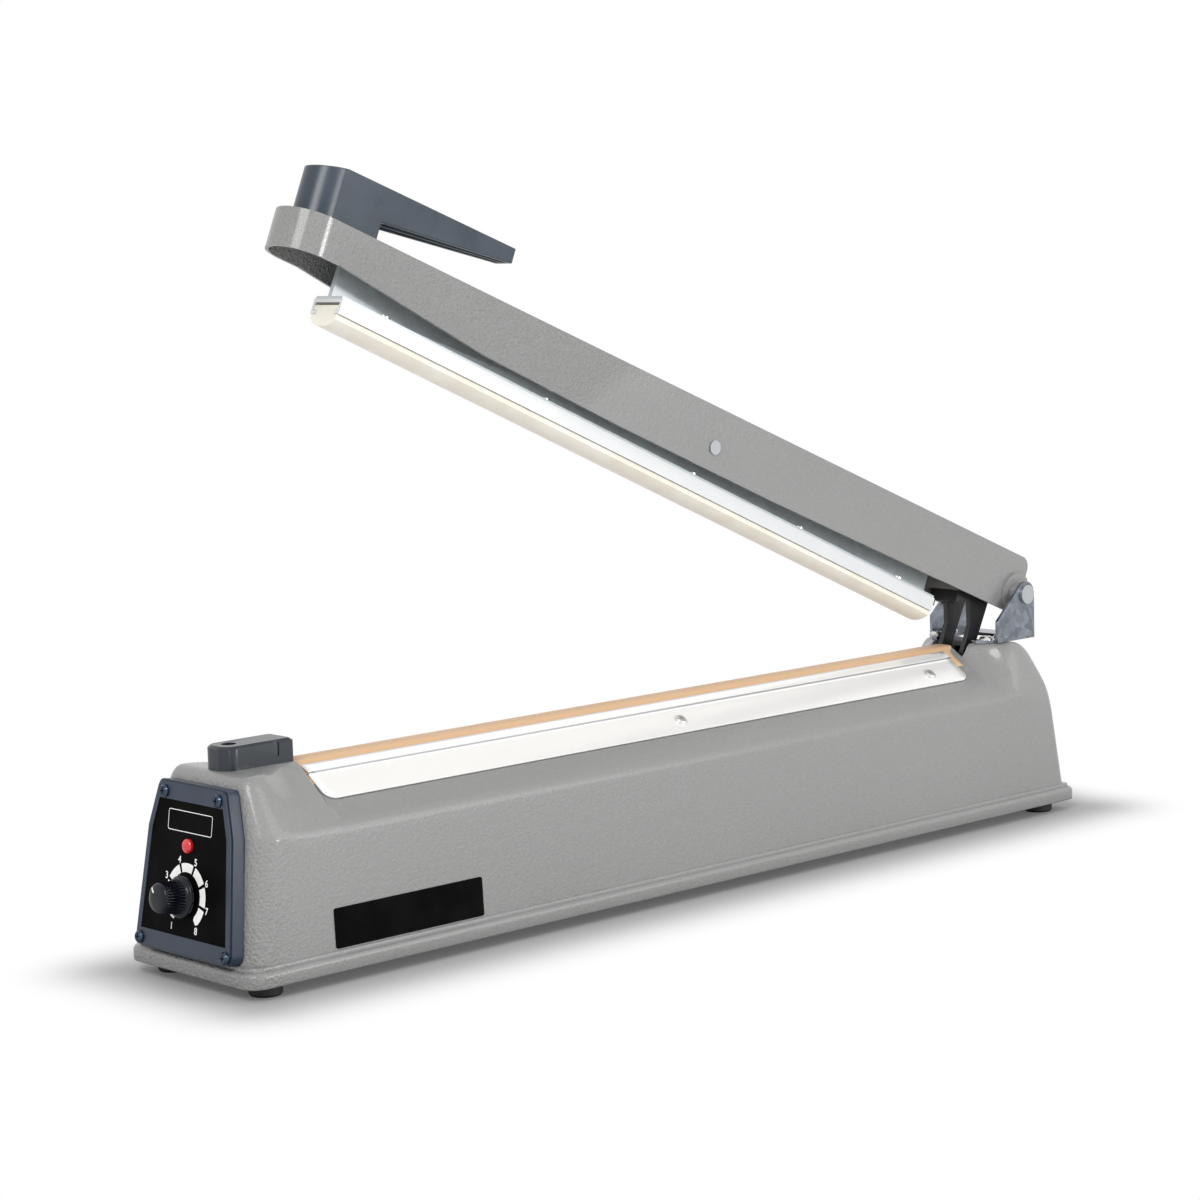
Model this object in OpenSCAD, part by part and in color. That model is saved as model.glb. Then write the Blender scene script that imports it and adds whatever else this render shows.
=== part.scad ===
// Hand impulse sealer, 400 mm seal: a lever arm with a sprung press bar closes on a heating strip.
// The casing stands along X with its dial end at -X and the hinge at +X. Z = 0 is the table.

/* [Casing] */
// Length over the base flange
case_l = 500; // [440:1:560]
// Width over the base flange
case_w = 85; // [82:1:92]
// Height of the base flange
flange_h = 6.5; // [5:0.5:8]
// Step from the flange's edge in to the walls
flange_step = 3.4; // [2.6:0.1:4.2]
// Radius of the flange's corners in plan
corner_r = 10; // [8:0.5:11]
// Height of the shoulder crease over the flange's underside
shoulder_h = 55.7; // [52:0.1:60]
// Width across the two shoulder creases
shoulder_w = 73.4; // [70:0.1:75]
// Height of the two end towers over the flange's underside
tower_h = 79; // [78:0.1:82]
// Width of the towers' flat tops
tower_top_w = 50; // [46:0.5:54]
// Rounding of the towers' top edges
edge_r = 5; // [3:0.5:6]
// Rounding of the rear tower's top over the rear end
rear_r = 12; // [9:0.5:14]
// End of the front tower, from the front end
front_tower_x = 22; // [21:0.5:24]
// Start of the rear tower, from the rear end
rear_tower_x = 33; // [31:0.5:35]
// Length of the slope from the front tower down to the ridge's flanks
front_slope_l = 18; // [14:0.5:24]
// Distance from the ridge's end to the edge of the rear tower's flat top
rear_slope_l = 7; // [5:0.5:8]
// Height of the ridge over the flange's underside
ridge_h = 77.1; // [76:0.1:77.5]
// Width of the ridge's flat top
ridge_w = 11; // [10:0.5:12]
// Wall thickness of the casing
wall_t = 2.5; // [2:0.1:3]
// Lean of the front face, in degrees
front_lean = 7.6; // [6:0.1:8.5]
// Lean of the rear face, in degrees
rear_lean = 8.1; // [6:0.1:9]

/* [Base] */
// Height of a rubber foot
foot_h = 5.1; // [4.5:0.1:8]
// Radius of a rubber foot
foot_r = 6.7; // [6:0.1:8]
// Distance of a foot's centre from the casing's ends
foot_inset = 15; // [14:0.5:18]
// Distance between the two rows of feet
foot_span = 61; // [58:0.5:62]
// Thickness of the bottom plate
plate_t = 1.2; // [1:0.1:2]

/* [Control panel] */
// Thickness of the moulded bezel
bezel_t = 6.2; // [5:0.1:7]
// Height of the bezel
bezel_h = 67.4; // [64:0.1:70]
// Width of the bezel at its foot
bezel_w = 64.8; // [62:0.1:66]
// Width of the bezel at its shoulder
bezel_mid_w = 56.2; // [54:0.1:58]
// Width of the bezel at its top
bezel_top_w = 44.8; // [42:0.1:46]
// Height of the bezel's shoulder over its foot
bezel_mid_h = 48.7; // [46:0.1:51]
// Gap between the flange and the bezel's foot
bezel_lift = 1.1; // [0.5:0.1:2]
// Rounding of the bezel's corners
bezel_r = 4.5; // [2.5:0.1:5]
// Depth of the dial label's recess
label_recess = 0.8; // [0.5:0.1:1.2]
// Thickness of the dial label
label_t = 0.5; // [0.3:0.1:0.8]
// Margin between the bezel's sides and the label
label_margin = 3.4; // [3:0.1:4.5]
// Height of the label's lower edge over the bezel's foot
label_lo = 7.4; // [6.5:0.1:9]
// Height of the label's upper edge over the bezel's foot
label_hi = 59.9; // [58:0.1:60]
// Height of the dial's centre over the bezel's foot
dial_h = 23.2; // [22:0.1:25]
// Height of the lamp over the bezel's foot
lamp_h = 43.1; // [42:0.1:46]
// Radius of the lamp's dome
lamp_r = 2.9; // [2.5:0.1:3.5]
// Radius of the knob's skirt
skirt_r = 9.3; // [8.5:0.1:10]
// Radius of the knob's body
knob_r = 6.5; // [6:0.1:7.5]
// How far the knob stands out of the bezel
knob_out = 15.6; // [14:0.1:18]

/* [Side label] */
// Length of the blank label on the near wall
side_label_l = 76; // [60:1:80]
// Height of the side label
side_label_h = 16; // [14:0.5:20]
// Distance of the side label from the front end
side_label_x = 43.5; // [42:0.5:60]
// Height of the side label's lower edge over the flange's top
side_label_up = 2.2; // [2:0.1:6]

/* [Heating strip] */
// Thickness of the insulating strip
strip_t = 0.9; // [0.6:0.1:1.2]
// Width of the insulating strip
strip_w = 9; // [8:0.1:9.5]
// Thickness of the heating element
element_t = 0.25; // [0.2:0.05:0.4]
// Width of the heating element
element_w = 5; // [2:0.1:6]
// Thickness of the non-stick cover
cover_t = 0.3; // [0.2:0.05:0.4]
// How far the cover reaches down each flank
cover_reach = 13; // [11:0.5:13.5]
// Start of the cover and the trims, from the front end
seal_x0 = 52; // [51.5:0.5:56]
// End of the ridge at the fork's slot, from the rear end
seal_x1 = 48; // [47:0.5:52]
// Thickness of a trim plate
trim_t = 0.8; // [0.6:0.1:1]
// How far a trim plate reaches down its flank
trim_reach = 23; // [21:0.5:24]
// Length of the terminal cover's block
block_l = 33.5; // [30:0.5:34]
// Width of the block
block_w = 16; // [14:0.5:18]
// Height of the block
block_h = 9.5; // [8:0.5:12]
// Start of the block, from the front end
block_x = 17; // [16.5:0.5:18]

/* [Hinge] */
// Height of the hinge pin over the towers' tops
pin_h = 21.85; // [20:0.05:24]
// Distance of the hinge pin from the rear end
pin_inset = 11.5; // [10.5:0.5:12.5]
// Radius of the hinge pin
pin_r = 3; // [2.5:0.1:3.5]
// Width over the bracket's two ears
ear_span = 43.4; // [42:0.1:46]
// Thickness of the bracket's sheet
sheet_t = 1.6; // [1.2:0.1:2]
// Running clearance of the arm on its pin
run_gap = 0.05; // [0.02:0.01:0.08]
// Clearance between bodies that pass each other
pass_gap = 0.35; // [0.3:0.05:0.5]
// Clearance of a screw or a pin in its hole
fit_gap = 0.05; // [0.03:0.01:0.1]

/* [Arm] */
// Rest angle of the arm over the horizontal
arm_deg = 22.5; // [18:0.5:24]
// Width of the arm
arm_w = 29.4; // [28:0.1:31]
// Thickness of the arm's sheet
arm_t = 1.5; // [1.2:0.1:1.8]
// Height of the arm's top over the hinge pin
arm_top = 18.6; // [17:0.1:20]
// Distance of the arm's nose from the casing's front end, closed
nose_inset = 19.5; // [17:0.5:21]
// Radius of the bosses round the pin
boss_r = 10; // [8:0.1:11]
// How far a boss stands out of the arm's side
boss_out = 1.6; // [1:0.1:4]
// Rounding of the arm's upper rear corner
back_r = 5; // [3:0.5:6]
// Height of the handle over the arm
grip_h = 22.5; // [20:0.1:24]
// Length of the handle
grip_l = 110; // [95:1:120]
// Width of the handle at the nose
grip_w = 20; // [17:0.5:23]
// Width of the handle at its tip
grip_tip_w = 10.5; // [9:0.5:14]
// Length of the handle's foot
grip_foot_l = 34; // [31:0.5:38]
// Gap under the handle's beak beside its foot
grip_gap = 9; // [7:0.5:11]

/* [Press bar] */
// Distance from the hinge pin to the rocker pin
rocker_u = 223; // [210:1:235]
// Height of the rocker pin over the arm's centre line
rocker_v = 1; // [0:0.1:3]
// Radius of the rocker pin
rocker_r = 2.5; // [2:0.1:3]
// Rest angle of the press bar over the horizontal
bar_deg = 24; // [23:0.1:25]
// Drop from the rocker pin to the rail's underside
bar_drop = 14.5; // [14:0.1:15]
// Width of the steel rail's foot
rail_w = 17; // [15:0.5:19]
// Height of the steel rail
rail_h = 21; // [19:0.1:22]
// Thickness of the rail's foot
rail_t = 1.2; // [1:0.1:1.5]
// Thickness of the rail's upright web
web_t = 2.4; // [2:0.1:3]
// Width of the rubber holder
holder_w = 18.6; // [17:0.1:20]
// Height of the rubber holder
holder_h = 6.3; // [5.5:0.1:7]
// Wall of the rubber holder
holder_t = 1.4; // [1.2:0.1:1.6]
// How far the rubber stands out of its holder
rubber_out = 5.4; // [4:0.1:5.6]
// Gap between the closed bar and the block
bar_gap = 2.5; // [2:0.1:4]
// Distance of the bar's rear end from the hinge pin
bar_rear = 50; // [48:0.5:56]

/* [Fork and switch] */
// Distance between the middles of the fork's legs
fork_span = 14.4; // [13:0.1:15]
// Thickness of a leg
fork_t = 2.5; // [2:0.1:3]
// Distance of the fork's cross pin ahead of the hinge pin
cross_u = 17; // [15:0.5:19]
// Drop of the cross pin below the hinge pin
cross_v = 52; // [50:0.5:54]
// Radius of the cross pin
cross_r = 2.5; // [2:0.1:3]
// Travel of the switch's plunger
plunger_travel = 0.8; // [0.4:0.1:1.2]
// Distance of the return spring's anchor from the rear end
anchor_x = 98; // [95:1:110]
// Outer radius of the return spring
spring_r = 4.5; // [4:0.1:5]
// Radius of the spring's wire
wire_r = 0.6; // [0.5:0.05:0.8]
// Number of turns in the return spring
spring_turns = 16; // [12:1:18]

/* [Inside] */
// Length of the transformer's core
core_l = 66; // [60:1:72]
// Height of the transformer's core
core_h = 50; // [44:1:52]
// Depth of the lamination stack
core_w = 30; // [26:1:34]
// Place of the transformer's middle, from the rear end
core_x = 170; // [150:1:200]
// Length of the timer board
board_l = 70; // [60:1:80]
// Width of the timer board
board_w = 50; // [45:1:56]
// Radius of the cord inlet's bore
inlet_r = 3.4; // [3:0.1:4]

/* [Hidden] */
$fn = 48;

// Heights over the table
base_z = foot_h;
flange_z = base_z + flange_h;
shoulder_z = base_z + shoulder_h;
tower_z = base_z + tower_h;
ridge_z = base_z + ridge_h;
plate_z = base_z + plate_t;
strip_z = ridge_z + strip_t;
element_z = strip_z + element_t;
seal_z = element_z + cover_t;
pin_z = tower_z + pin_h;

// Half widths, and lengths along the casing from its front end
half_w = case_w / 2;
wall_y = half_w - flange_step;
front_x = flange_step;
rear_x = case_l - flange_step;
pin_x = case_l - pin_inset;
seal_end = case_l - seal_x1;
facet_run = (shoulder_w - ridge_w) / 2;
facet_deg = atan((ridge_h - shoulder_h) / facet_run);

// The front face starts at the flange's top and leans back; these place a point d in front of it
function panel_x(up, d) = front_x + up * sin(front_lean) - d * cos(front_lean);
knob_up = bezel_lift + dial_h;
knob_tip = bezel_t + knob_out;
knob_chamfer = 0.8;
knob_reach = -min(panel_x(knob_up - knob_r, knob_tip - knob_chamfer),
                  panel_x(knob_up - knob_r + knob_chamfer, knob_tip));
mid_x = (case_l - knob_reach) / 2;

// Closed position: the rubber meets the seal's cover with the bar level
crown_drop = bar_drop + holder_h + rubber_out;
touch_gap = 0.3;
closed_deg = asin((seal_z + touch_gap + crown_drop - pin_z - rocker_v) / rocker_u);

// Unit vector along v
function unit(v) = v / norm(v);
// Inward normal of the edge from a to b of a counter-clockwise outline
function inward(a, b) = let (e = unit(b - a)) [-e.y, e.x];
// Outline p moved inwards by d
function inset(p, d) = [for (i = [0 : len(p) - 1])
    let (n = inward(p[(i + len(p) - 1) % len(p)], p[i]), m = inward(p[i], p[(i + 1) % len(p)]))
    p[i] + d * (n + m) / (1 + n * m)];
// Points where a rounding of radius r leaves the two edges that meet at corner b
function tangents(a, b, c, r) = let (k = inset([a, b, c], r)[1])
    [k - r * inward(a, b), k - r * inward(b, c)];

// Convex counter-clockwise outline with corner i rounded by r[i]
module rounded(p, r) {
    n = len(p);
    q = [for (i = [0 : n - 1])
        each r[i] == 0 ? [p[i]] : tangents(p[(i + n - 1) % n], p[i], p[(i + 1) % n], r[i])];
    polygon(q);
    for (i = [0 : n - 1]) {
        if (r[i] > 0) {
            translate(inset([p[(i + n - 1) % n], p[i], p[(i + 1) % n]], r[i])[1]) circle(r[i]);
        }
    }
}

// Rectangle centred on the origin with round corners
module round_rect(x, y, r) {
    rounded([[-x / 2, -y / 2], [x / 2, -y / 2], [x / 2, y / 2], [-x / 2, y / 2]], [r, r, r, r]);
}

// Everything is drawn with x counted from the casing's front end and moved to the middle here
module placed() {
    translate([-mid_x, 0, 0]) children();
}

// Cross-section drawn with x = across and y = up, run along the casing from x0 to x1
module along(x0, x1) {
    translate([x0, 0, 0]) rotate([90, 0, 90]) linear_extrude(x1 - x0) children();
}

// Side view drawn with x = along and y = up, w wide and centred on the middle plane
module across(w, y = 0) {
    translate([0, y + w / 2, 0]) rotate([90, 0, 0]) linear_extrude(w) children();
}

// Frame of the front face: x across, y up the face from the flange, z out of it
module on_panel() {
    translate([front_x, 0, flange_z]) rotate([0, front_lean, 0]) rotate([90, 0, -90]) children();
}

// Frame of the rear face, the same way
module on_rear() {
    translate([rear_x, 0, flange_z]) rotate([0, -rear_lean, 0]) rotate([90, 0, 90]) children();
}

// Frame of a flank: x along, y down the flank for side = 1, z out of it
module on_flank(side) {
    translate([0, side * ridge_w / 2, ridge_z]) rotate([-side * facet_deg, 0, 0]) children();
}

// Point of the cross-section d down a flank and h out of it
function flank(d, h) = [ridge_w / 2 + d * cos(facet_deg) + h * sin(facet_deg),
                        ridge_z - d * sin(facet_deg) + h * cos(facet_deg)];
function mirrored(p) = [for (i = [len(p) - 1 : -1 : 0]) [-p[i].x, p[i].y]];

// Arm frame: x = 0 on the hinge pin and negative towards the nose, z across the arm's top
module arm_frame(deg = arm_deg) {
    translate([pin_x, 0, pin_z]) rotate([0, deg, 0]) children();
}

// Place of a point of the arm frame, u ahead of the pin and v above it
function arm_point(u, v, deg = arm_deg) =
    [pin_x - u * cos(deg) + v * sin(deg), pin_z + u * sin(deg) + v * cos(deg)];
rocker = arm_point(rocker_u, rocker_v);

// Bar frame: the origin on the rocker pin, x negative towards the nose
module bar_frame() {
    translate([rocker.x, 0, rocker[1]]) rotate([0, bar_deg, 0]) children();
}
bar_l0 = -(pin_x - (block_x + block_l + bar_gap)) + rocker_u;
bar_l1 = rocker_u - bar_rear;

// Screw with a pan head standing on z = 0, its shank below
module screw(r, l, head_r, head_h) {
    difference() {
        union() {
            translate([0, 0, -l]) cylinder(r = r, h = l);
            cylinder(r = head_r, h = head_h * 0.5);
            translate([0, 0, head_h * 0.5]) cylinder(r1 = head_r, r2 = head_r * 0.72, h = head_h * 0.5);
        }
        for (a = [0, 90]) {
            rotate(a) translate([-head_r * 0.55, -head_r * 0.11, head_h * 0.45])
                cube([head_r * 1.1, head_r * 0.22, head_h]);
        }
    }
}

// Corners of the towers' and the middle's cross-sections, counter-clockwise
lower = base_z - 1;
tower_outline = [[-wall_y, flange_z], [wall_y, flange_z], [shoulder_w / 2, shoulder_z],
                 [tower_top_w / 2, tower_z], [-tower_top_w / 2, tower_z], [-shoulder_w / 2, shoulder_z]];
middle_outline = [[-wall_y, flange_z], [wall_y, flange_z], [shoulder_w / 2, shoulder_z],
                  [ridge_w / 2, ridge_z], [-ridge_w / 2, ridge_z], [-shoulder_w / 2, shoulder_z]];
module tower_section() {
    rounded(tower_outline, [0, 0, 0, edge_r, edge_r, 0]);
}
function front_at(z) = front_x + (z - flange_z) * tan(front_lean);
function rear_at(z) = rear_x - (z - flange_z) * tan(rear_lean);
slice = 0.2;
rear_tower = case_l - rear_tower_x;
prong_x = seal_end + rear_slope_l;
prong_w = 28;
bead_h = 1.6;
bead_out = 1.1;
pad_edge = 0.8;
pad_w = block_w + 2 * pad_edge;

// Disc of a tower's corner column at height z, its rounding inside the faces x and y
module corner_disc(x, y, z) {
    for (side = [-1, 1]) {
        translate([x, side * (y - corner_r), z]) cylinder(r = corner_r, h = slice, $fn = 32);
    }
}

// Balls that round the upper corners of a tower
module corner_ball(x, z, r) {
    y = inset(tower_outline, r)[3].x;
    for (side = [-1, 1]) {
        translate([x, side * y, z]) sphere(r = r, $fn = 24);
    }
}

module front_tower() {
    ball_z = tower_z - edge_r;
    hull() {
        corner_disc(front_x + corner_r, wall_y, flange_z - slice);
        corner_disc(front_at(shoulder_z) + corner_r, shoulder_w / 2, shoulder_z - slice);
        corner_ball(front_at(ball_z) + edge_r / cos(front_lean), ball_z, edge_r);
        along(front_tower_x - slice, front_tower_x) tower_section();
    }
    // the flat top narrows to the terminal block's width
    hull() {
        along(front_tower_x - slice, front_tower_x) tower_section();
        along(front_tower_x + front_slope_l - slice, front_tower_x + front_slope_l) polygon(middle_outline);
        translate([front_tower_x, -pad_w / 2, shoulder_z])
            cube([block_x + block_l + pad_edge - front_tower_x, pad_w, tower_z - shoulder_z]);
    }
}

module rear_tower_solid() {
    arc_x = rear_at(tower_z - rear_r) - rear_r / cos(rear_lean);
    hull() {
        corner_disc(rear_x - corner_r, wall_y, flange_z);
        corner_disc(rear_at(shoulder_z) - corner_r, shoulder_w / 2, shoulder_z - slice);
        for (a = [0, 45, 90]) {
            corner_ball(arc_x + (rear_r - edge_r) * cos(a), tower_z - rear_r + (rear_r - edge_r) * sin(a),
                        edge_r);
        }
        along(rear_tower, rear_tower + slice) tower_section();
    }
    // the slope from the ridge, its top narrowed to the prongs beside the slot
    hull() {
        along(rear_tower, rear_tower + slice) tower_section();
        along(seal_end + touch_gap, seal_end + touch_gap + slice) polygon(middle_outline);
        translate([prong_x, -prong_w / 2, shoulder_z]) cube([rear_tower - prong_x, prong_w, tower_z - shoulder_z]);
    }
}

// The hollow: the cross-sections moved in by the wall, cut to the leaning ends
module hollow() {
    reach = 2 * flange_h;
    side = [[front_at(lower - reach), lower - reach], [rear_at(lower - reach), lower - reach],
            [rear_at(tower_z), tower_z], [front_at(tower_z), tower_z]];
    intersection() {
        union() {
            along(0, case_l) polygon(inset(middle_outline, wall_t));
            along(0, front_tower_x) polygon(inset(tower_outline, wall_t));
            along(rear_tower, case_l) polygon(inset(tower_outline, wall_t));
            translate([0, -wall_y + wall_t, lower]) cube([case_l, 2 * (wall_y - wall_t), flange_h + 4]);
        }
        across(case_w) rounded(inset(side, wall_t), [0, 0, rear_r - wall_t, edge_r]);
        translate([case_l / 2, 0, lower - 1])
            linear_extrude(tower_z) round_rect(rear_x - front_x - 2 * wall_t, case_w, corner_r - wall_t);
    }
}

foot_places = [for (x = [foot_inset, case_l - foot_inset], y = [-foot_span / 2, foot_span / 2]) [x, y]];
foot_screw_r = 1.7;
boss_wall = 3.6;
boss_top = base_z + 20;

// Posts in the four corners that take the feet's screws, each tied to the long wall by a rib
module foot_posts() {
    for (p = foot_places) {
        y = sign(p.y) * (wall_y - wall_t / 2);
        translate([p.x, p.y, plate_z]) cylinder(r = foot_screw_r + boss_wall, h = boss_top - plate_z);
        translate([p.x - wall_t / 2, min(p.y, y), plate_z]) cube([wall_t, abs(y - p.y), boss_top - plate_z]);
    }
}

bracket_screw_r = 1.9;
bracket_screw_y = 15.6;
bracket_screw_x = [case_l - 35, case_l - 24];
slot_x0 = seal_end;
slot_x1 = pin_x - 5;
slot_w = fork_span + fork_t + 2 * 2.6;
anchor_at = [case_l - anchor_x, ridge_z - 10.5];
anchor_r = 2;
lug_y = spring_r + 0.8;
lug_t = 3;
lug_r = 4.5;
block_screw_r = 1.6;
block_screw_x = block_x + 7.5;
trim_screw_x = [case_l * 0.5 + 3.5, case_l - 80.5];
trim_screw_d = 15.5;
trim_screw_r = 1.4;
lamp_stem_r = lamp_r - 0.6;
pot_r = 8;
pot_l = 9;
bush_r = 3.5;
shaft_r = 3;
bezel_screw_r = 1.5;
bezel_screw_places = [[17.8, bezel_h - 4.7], [28.5, 3.4]];
inlet_y = -18;
inlet_up = 14;
inlet_wall = 2.4;
terminal_x = block_x + block_l - 12;

// Places of the four bezel screws on the panel
module at_bezel_screws() {
    for (p = bezel_screw_places, side = [-1, 1]) {
        translate([side * p.x, bezel_lift + p.y, 0]) children();
    }
}

// Round posts under the rear tower's roof and the lugs that hold the spring's anchor
module inner_posts() {
    for (x = bracket_screw_x, side = [-1, 1]) {
        translate([x, side * bracket_screw_y, tower_z - wall_t - 6])
            cylinder(r = bracket_screw_r + 2, h = 7);
    }
    for (side = [-1, 1]) {
        across(lug_t, side * (lug_y + lug_t / 2)) {
            translate(anchor_at) circle(lug_r);
            translate([anchor_at.x - lug_r, anchor_at.y]) square([2 * lug_r, ridge_z - anchor_at.y]);
        }
    }
}

// Bead along the walls' foot, lower where the bezel stands in front of it
module bead() {
    difference() {
        translate([case_l / 2, 0, flange_z]) linear_extrude(bead_h)
            round_rect(rear_x - front_x + 2 * bead_out, 2 * (wall_y + bead_out), corner_r);
        on_panel() translate([-bezel_w / 2 - pass_gap, bezel_lift - pass_gap, -1])
            cube([bezel_w + 2 * pass_gap, bead_h, flange_step + 1]);
    }
}

module casing() {
    color("darkgray") placed() difference() {
        union() {
            difference() {
                union() {
                    translate([case_l / 2, 0, base_z])
                        linear_extrude(flange_h) round_rect(case_l, case_w, corner_r + 1);
                    bead();
                    along(front_tower_x, rear_tower) polygon(middle_outline);
                    front_tower();
                    rear_tower_solid();
                }
                hollow();
            }
            foot_posts();
            intersection() {
                inner_posts();
                union() {
                    along(0, case_l) polygon(inset(middle_outline, wall_t / 2));
                    along(rear_tower, case_l) polygon(inset(tower_outline, wall_t / 2));
                }
            }
        }
        for (p = foot_places) {
            translate([p.x, p.y, lower]) cylinder(r = foot_screw_r, h = boss_top - lower - 3);
        }
        for (x = bracket_screw_x, side = [-1, 1]) {
            translate([x, side * bracket_screw_y, tower_z - 12]) cylinder(r = bracket_screw_r, h = 14);
        }
        // slot for the fork, and the groove that takes the strip under the block
        translate([slot_x0, -slot_w / 2, shoulder_z]) cube([slot_x1 - slot_x0, slot_w, tower_h]);
        translate([terminal_x, -strip_w / 2 - fit_gap, ridge_z])
            cube([seal_x0 + 2 - terminal_x, strip_w + 2 * fit_gap, tower_h]);
        translate([block_screw_x, 0, tower_z - 8]) cylinder(r = block_screw_r, h = 10);
        on_panel() {
            translate([0, knob_up, -wall_t - 3]) cylinder(r = bush_r + fit_gap, h = wall_t + 6);
            translate([0, bezel_lift + lamp_h, -wall_t - 3]) cylinder(r = lamp_stem_r + 0.6, h = wall_t + 6);
            at_bezel_screws() translate([0, 0, -7]) cylinder(r = bezel_screw_r, h = 9);
        }
        on_rear() translate([inlet_y, inlet_up, -wall_t - 3])
            cylinder(r = inlet_r + inlet_wall + fit_gap, h = wall_t + 6);
        for (side = [-1, 1], x = trim_screw_x) {
            on_flank(side) translate([x, side * trim_screw_d, -7]) cylinder(r = trim_screw_r, h = 9);
        }
        across(4 * (lug_y + lug_t)) translate(anchor_at) circle(anchor_r + fit_gap);
    }
}

plate_gap = 0.25;
module bottom_plate() {
    color("gray") placed() difference() {
        translate([case_l / 2, 0, base_z]) linear_extrude(plate_t)
            round_rect(rear_x - front_x - 2 * wall_t - 2 * plate_gap - 1, 2 * (wall_y - wall_t - plate_gap),
                       corner_r - wall_t);
        for (p = foot_places) {
            translate([p.x, p.y, lower]) cylinder(r = foot_screw_r + 0.3, h = 10);
        }
        // slots that let air past the transformer
        for (i = [-3 : 3]) {
            translate([case_l - core_x + 9 * i, 0, lower]) linear_extrude(10) round_rect(3, core_w * 0.6, 1.4);
        }
    }
}

module rubber_feet() {
    color("black") placed() for (p = foot_places) {
        translate([p.x, p.y, 0]) difference() {
            union() {
                cylinder(r1 = foot_r - 0.6, r2 = foot_r, h = 0.8);
                translate([0, 0, 0.8]) cylinder(r = foot_r, h = foot_h - 0.8);
            }
            translate([0, 0, -1]) cylinder(r = foot_screw_r * 2.2, h = foot_h * 0.55 + 1);
            translate([0, 0, -1]) cylinder(r = foot_screw_r + 0.3, h = foot_h + 2);
        }
    }
}

module foot_screws() {
    color("silver") placed() for (p = foot_places) {
        translate([p.x, p.y, foot_h * 0.55]) mirror([0, 0, 1])
            screw(foot_screw_r - fit_gap, 14, foot_screw_r * 2, foot_h * 0.4);
    }
}

// Outline of the bezel in the panel's frame, moved in by m
bezel_corners = [[-bezel_w / 2, bezel_lift], [bezel_w / 2, bezel_lift],
                 [bezel_mid_w / 2, bezel_lift + bezel_mid_h], [bezel_top_w / 2, bezel_lift + bezel_h],
                 [-bezel_top_w / 2, bezel_lift + bezel_h], [-bezel_mid_w / 2, bezel_lift + bezel_mid_h]];
module bezel_outline(m = 0) {
    rounded(inset(bezel_corners, m), [bezel_r, bezel_r, 0, bezel_r * 0.7, bezel_r * 0.7, 0]);
}
module label_outline(m = 0) {
    intersection() {
        polygon(inset(bezel_corners, label_margin + m));
        translate([-case_w / 2, bezel_lift + label_lo + m]) square([case_w, label_hi - label_lo - 2 * m]);
    }
}
bezel_skin = 2.2;
bezel_rim = 2;
bezel_edge = 0.8;
bezel_boss_r = 3.6;

module bezel() {
    color("dimgray") placed() on_panel() difference() {
        union() {
            linear_extrude(bezel_t - bezel_edge) bezel_outline();
            translate([0, 0, bezel_t - bezel_edge]) linear_extrude(bezel_edge) bezel_outline(bezel_edge);
        }
        difference() {
            translate([0, 0, -1]) linear_extrude(bezel_t - bezel_skin + 1) bezel_outline(bezel_rim);
            at_bezel_screws() cylinder(r = bezel_boss_r, h = bezel_t);
        }
        translate([0, 0, bezel_t - label_recess]) linear_extrude(bezel_t) label_outline();
        translate([0, knob_up, -1]) cylinder(r = bush_r + 0.4, h = bezel_t + 2);
        translate([0, bezel_lift + lamp_h, -1]) cylinder(r = lamp_r + fit_gap, h = bezel_t + 2);
        at_bezel_screws() translate([0, 0, -1]) cylinder(r = bezel_screw_r + 0.2, h = bezel_t + 2);
    }
}

module bezel_screws() {
    color("silver") placed() on_panel() at_bezel_screws() translate([0, 0, bezel_t])
        screw(bezel_screw_r - fit_gap, bezel_t + 5, 2.6, 1.3);
}

module dial_label() {
    color("black") placed() on_panel() translate([0, 0, bezel_t - label_recess]) difference() {
        linear_extrude(label_t) label_outline(0.15);
        translate([0, knob_up, -1]) cylinder(r = bush_r + 0.4, h = 3);
        translate([0, bezel_lift + lamp_h, -1]) cylinder(r = lamp_r + 0.1, h = 3);
    }
}

wall_lean = atan((wall_y - shoulder_w / 2) / (shoulder_z - flange_z));
side_label_t = 0.4;
module side_label() {
    color("black") placed() translate([side_label_x + side_label_l / 2, -wall_y, flange_z])
        rotate([90 - wall_lean, 0, 0]) translate([0, side_label_up + side_label_h / 2, 0])
            linear_extrude(side_label_t) round_rect(side_label_l, side_label_h, 1);
}

lamp_back = 3;
lamp_rim = 0.4;
dome_h = 1.6;
module indicator_lamp() {
    color("red") placed() on_panel() translate([0, bezel_lift + lamp_h, 0]) {
        translate([0, 0, -wall_t - lamp_back]) cylinder(r = lamp_stem_r, h = wall_t + lamp_back + 0.2);
        cylinder(r = lamp_r, h = bezel_t + lamp_rim);
        translate([0, 0, bezel_t + lamp_rim]) rotate_extrude()
            polygon([[0, 0], for (a = [0 : 10 : 80]) [lamp_r * cos(a), dome_h * sin(a)], [0, dome_h * sin(80)]]);
    }
}

module potentiometer() {
    color("goldenrod") placed() on_panel() translate([0, knob_up, 0]) difference() {
        union() {
            translate([0, 0, -wall_t - pot_l]) cylinder(r = pot_r, h = pot_l - 0.1);
            translate([0, 0, -wall_t - 1]) cylinder(r = bush_r, h = wall_t + 1 + bezel_t + 0.8);
            cylinder(r = bush_r * 1.7, h = 2.2, $fn = 6);
            for (i = [-1, 0, 1]) {
                translate([5 * i - 0.6, -pot_r - 5, -wall_t - 4]) cube([1.2, 7, 0.6]);
            }
        }
        translate([0, 0, -wall_t - 3]) cylinder(r = shaft_r + run_gap, h = bezel_t + 20);
    }
}

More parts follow.
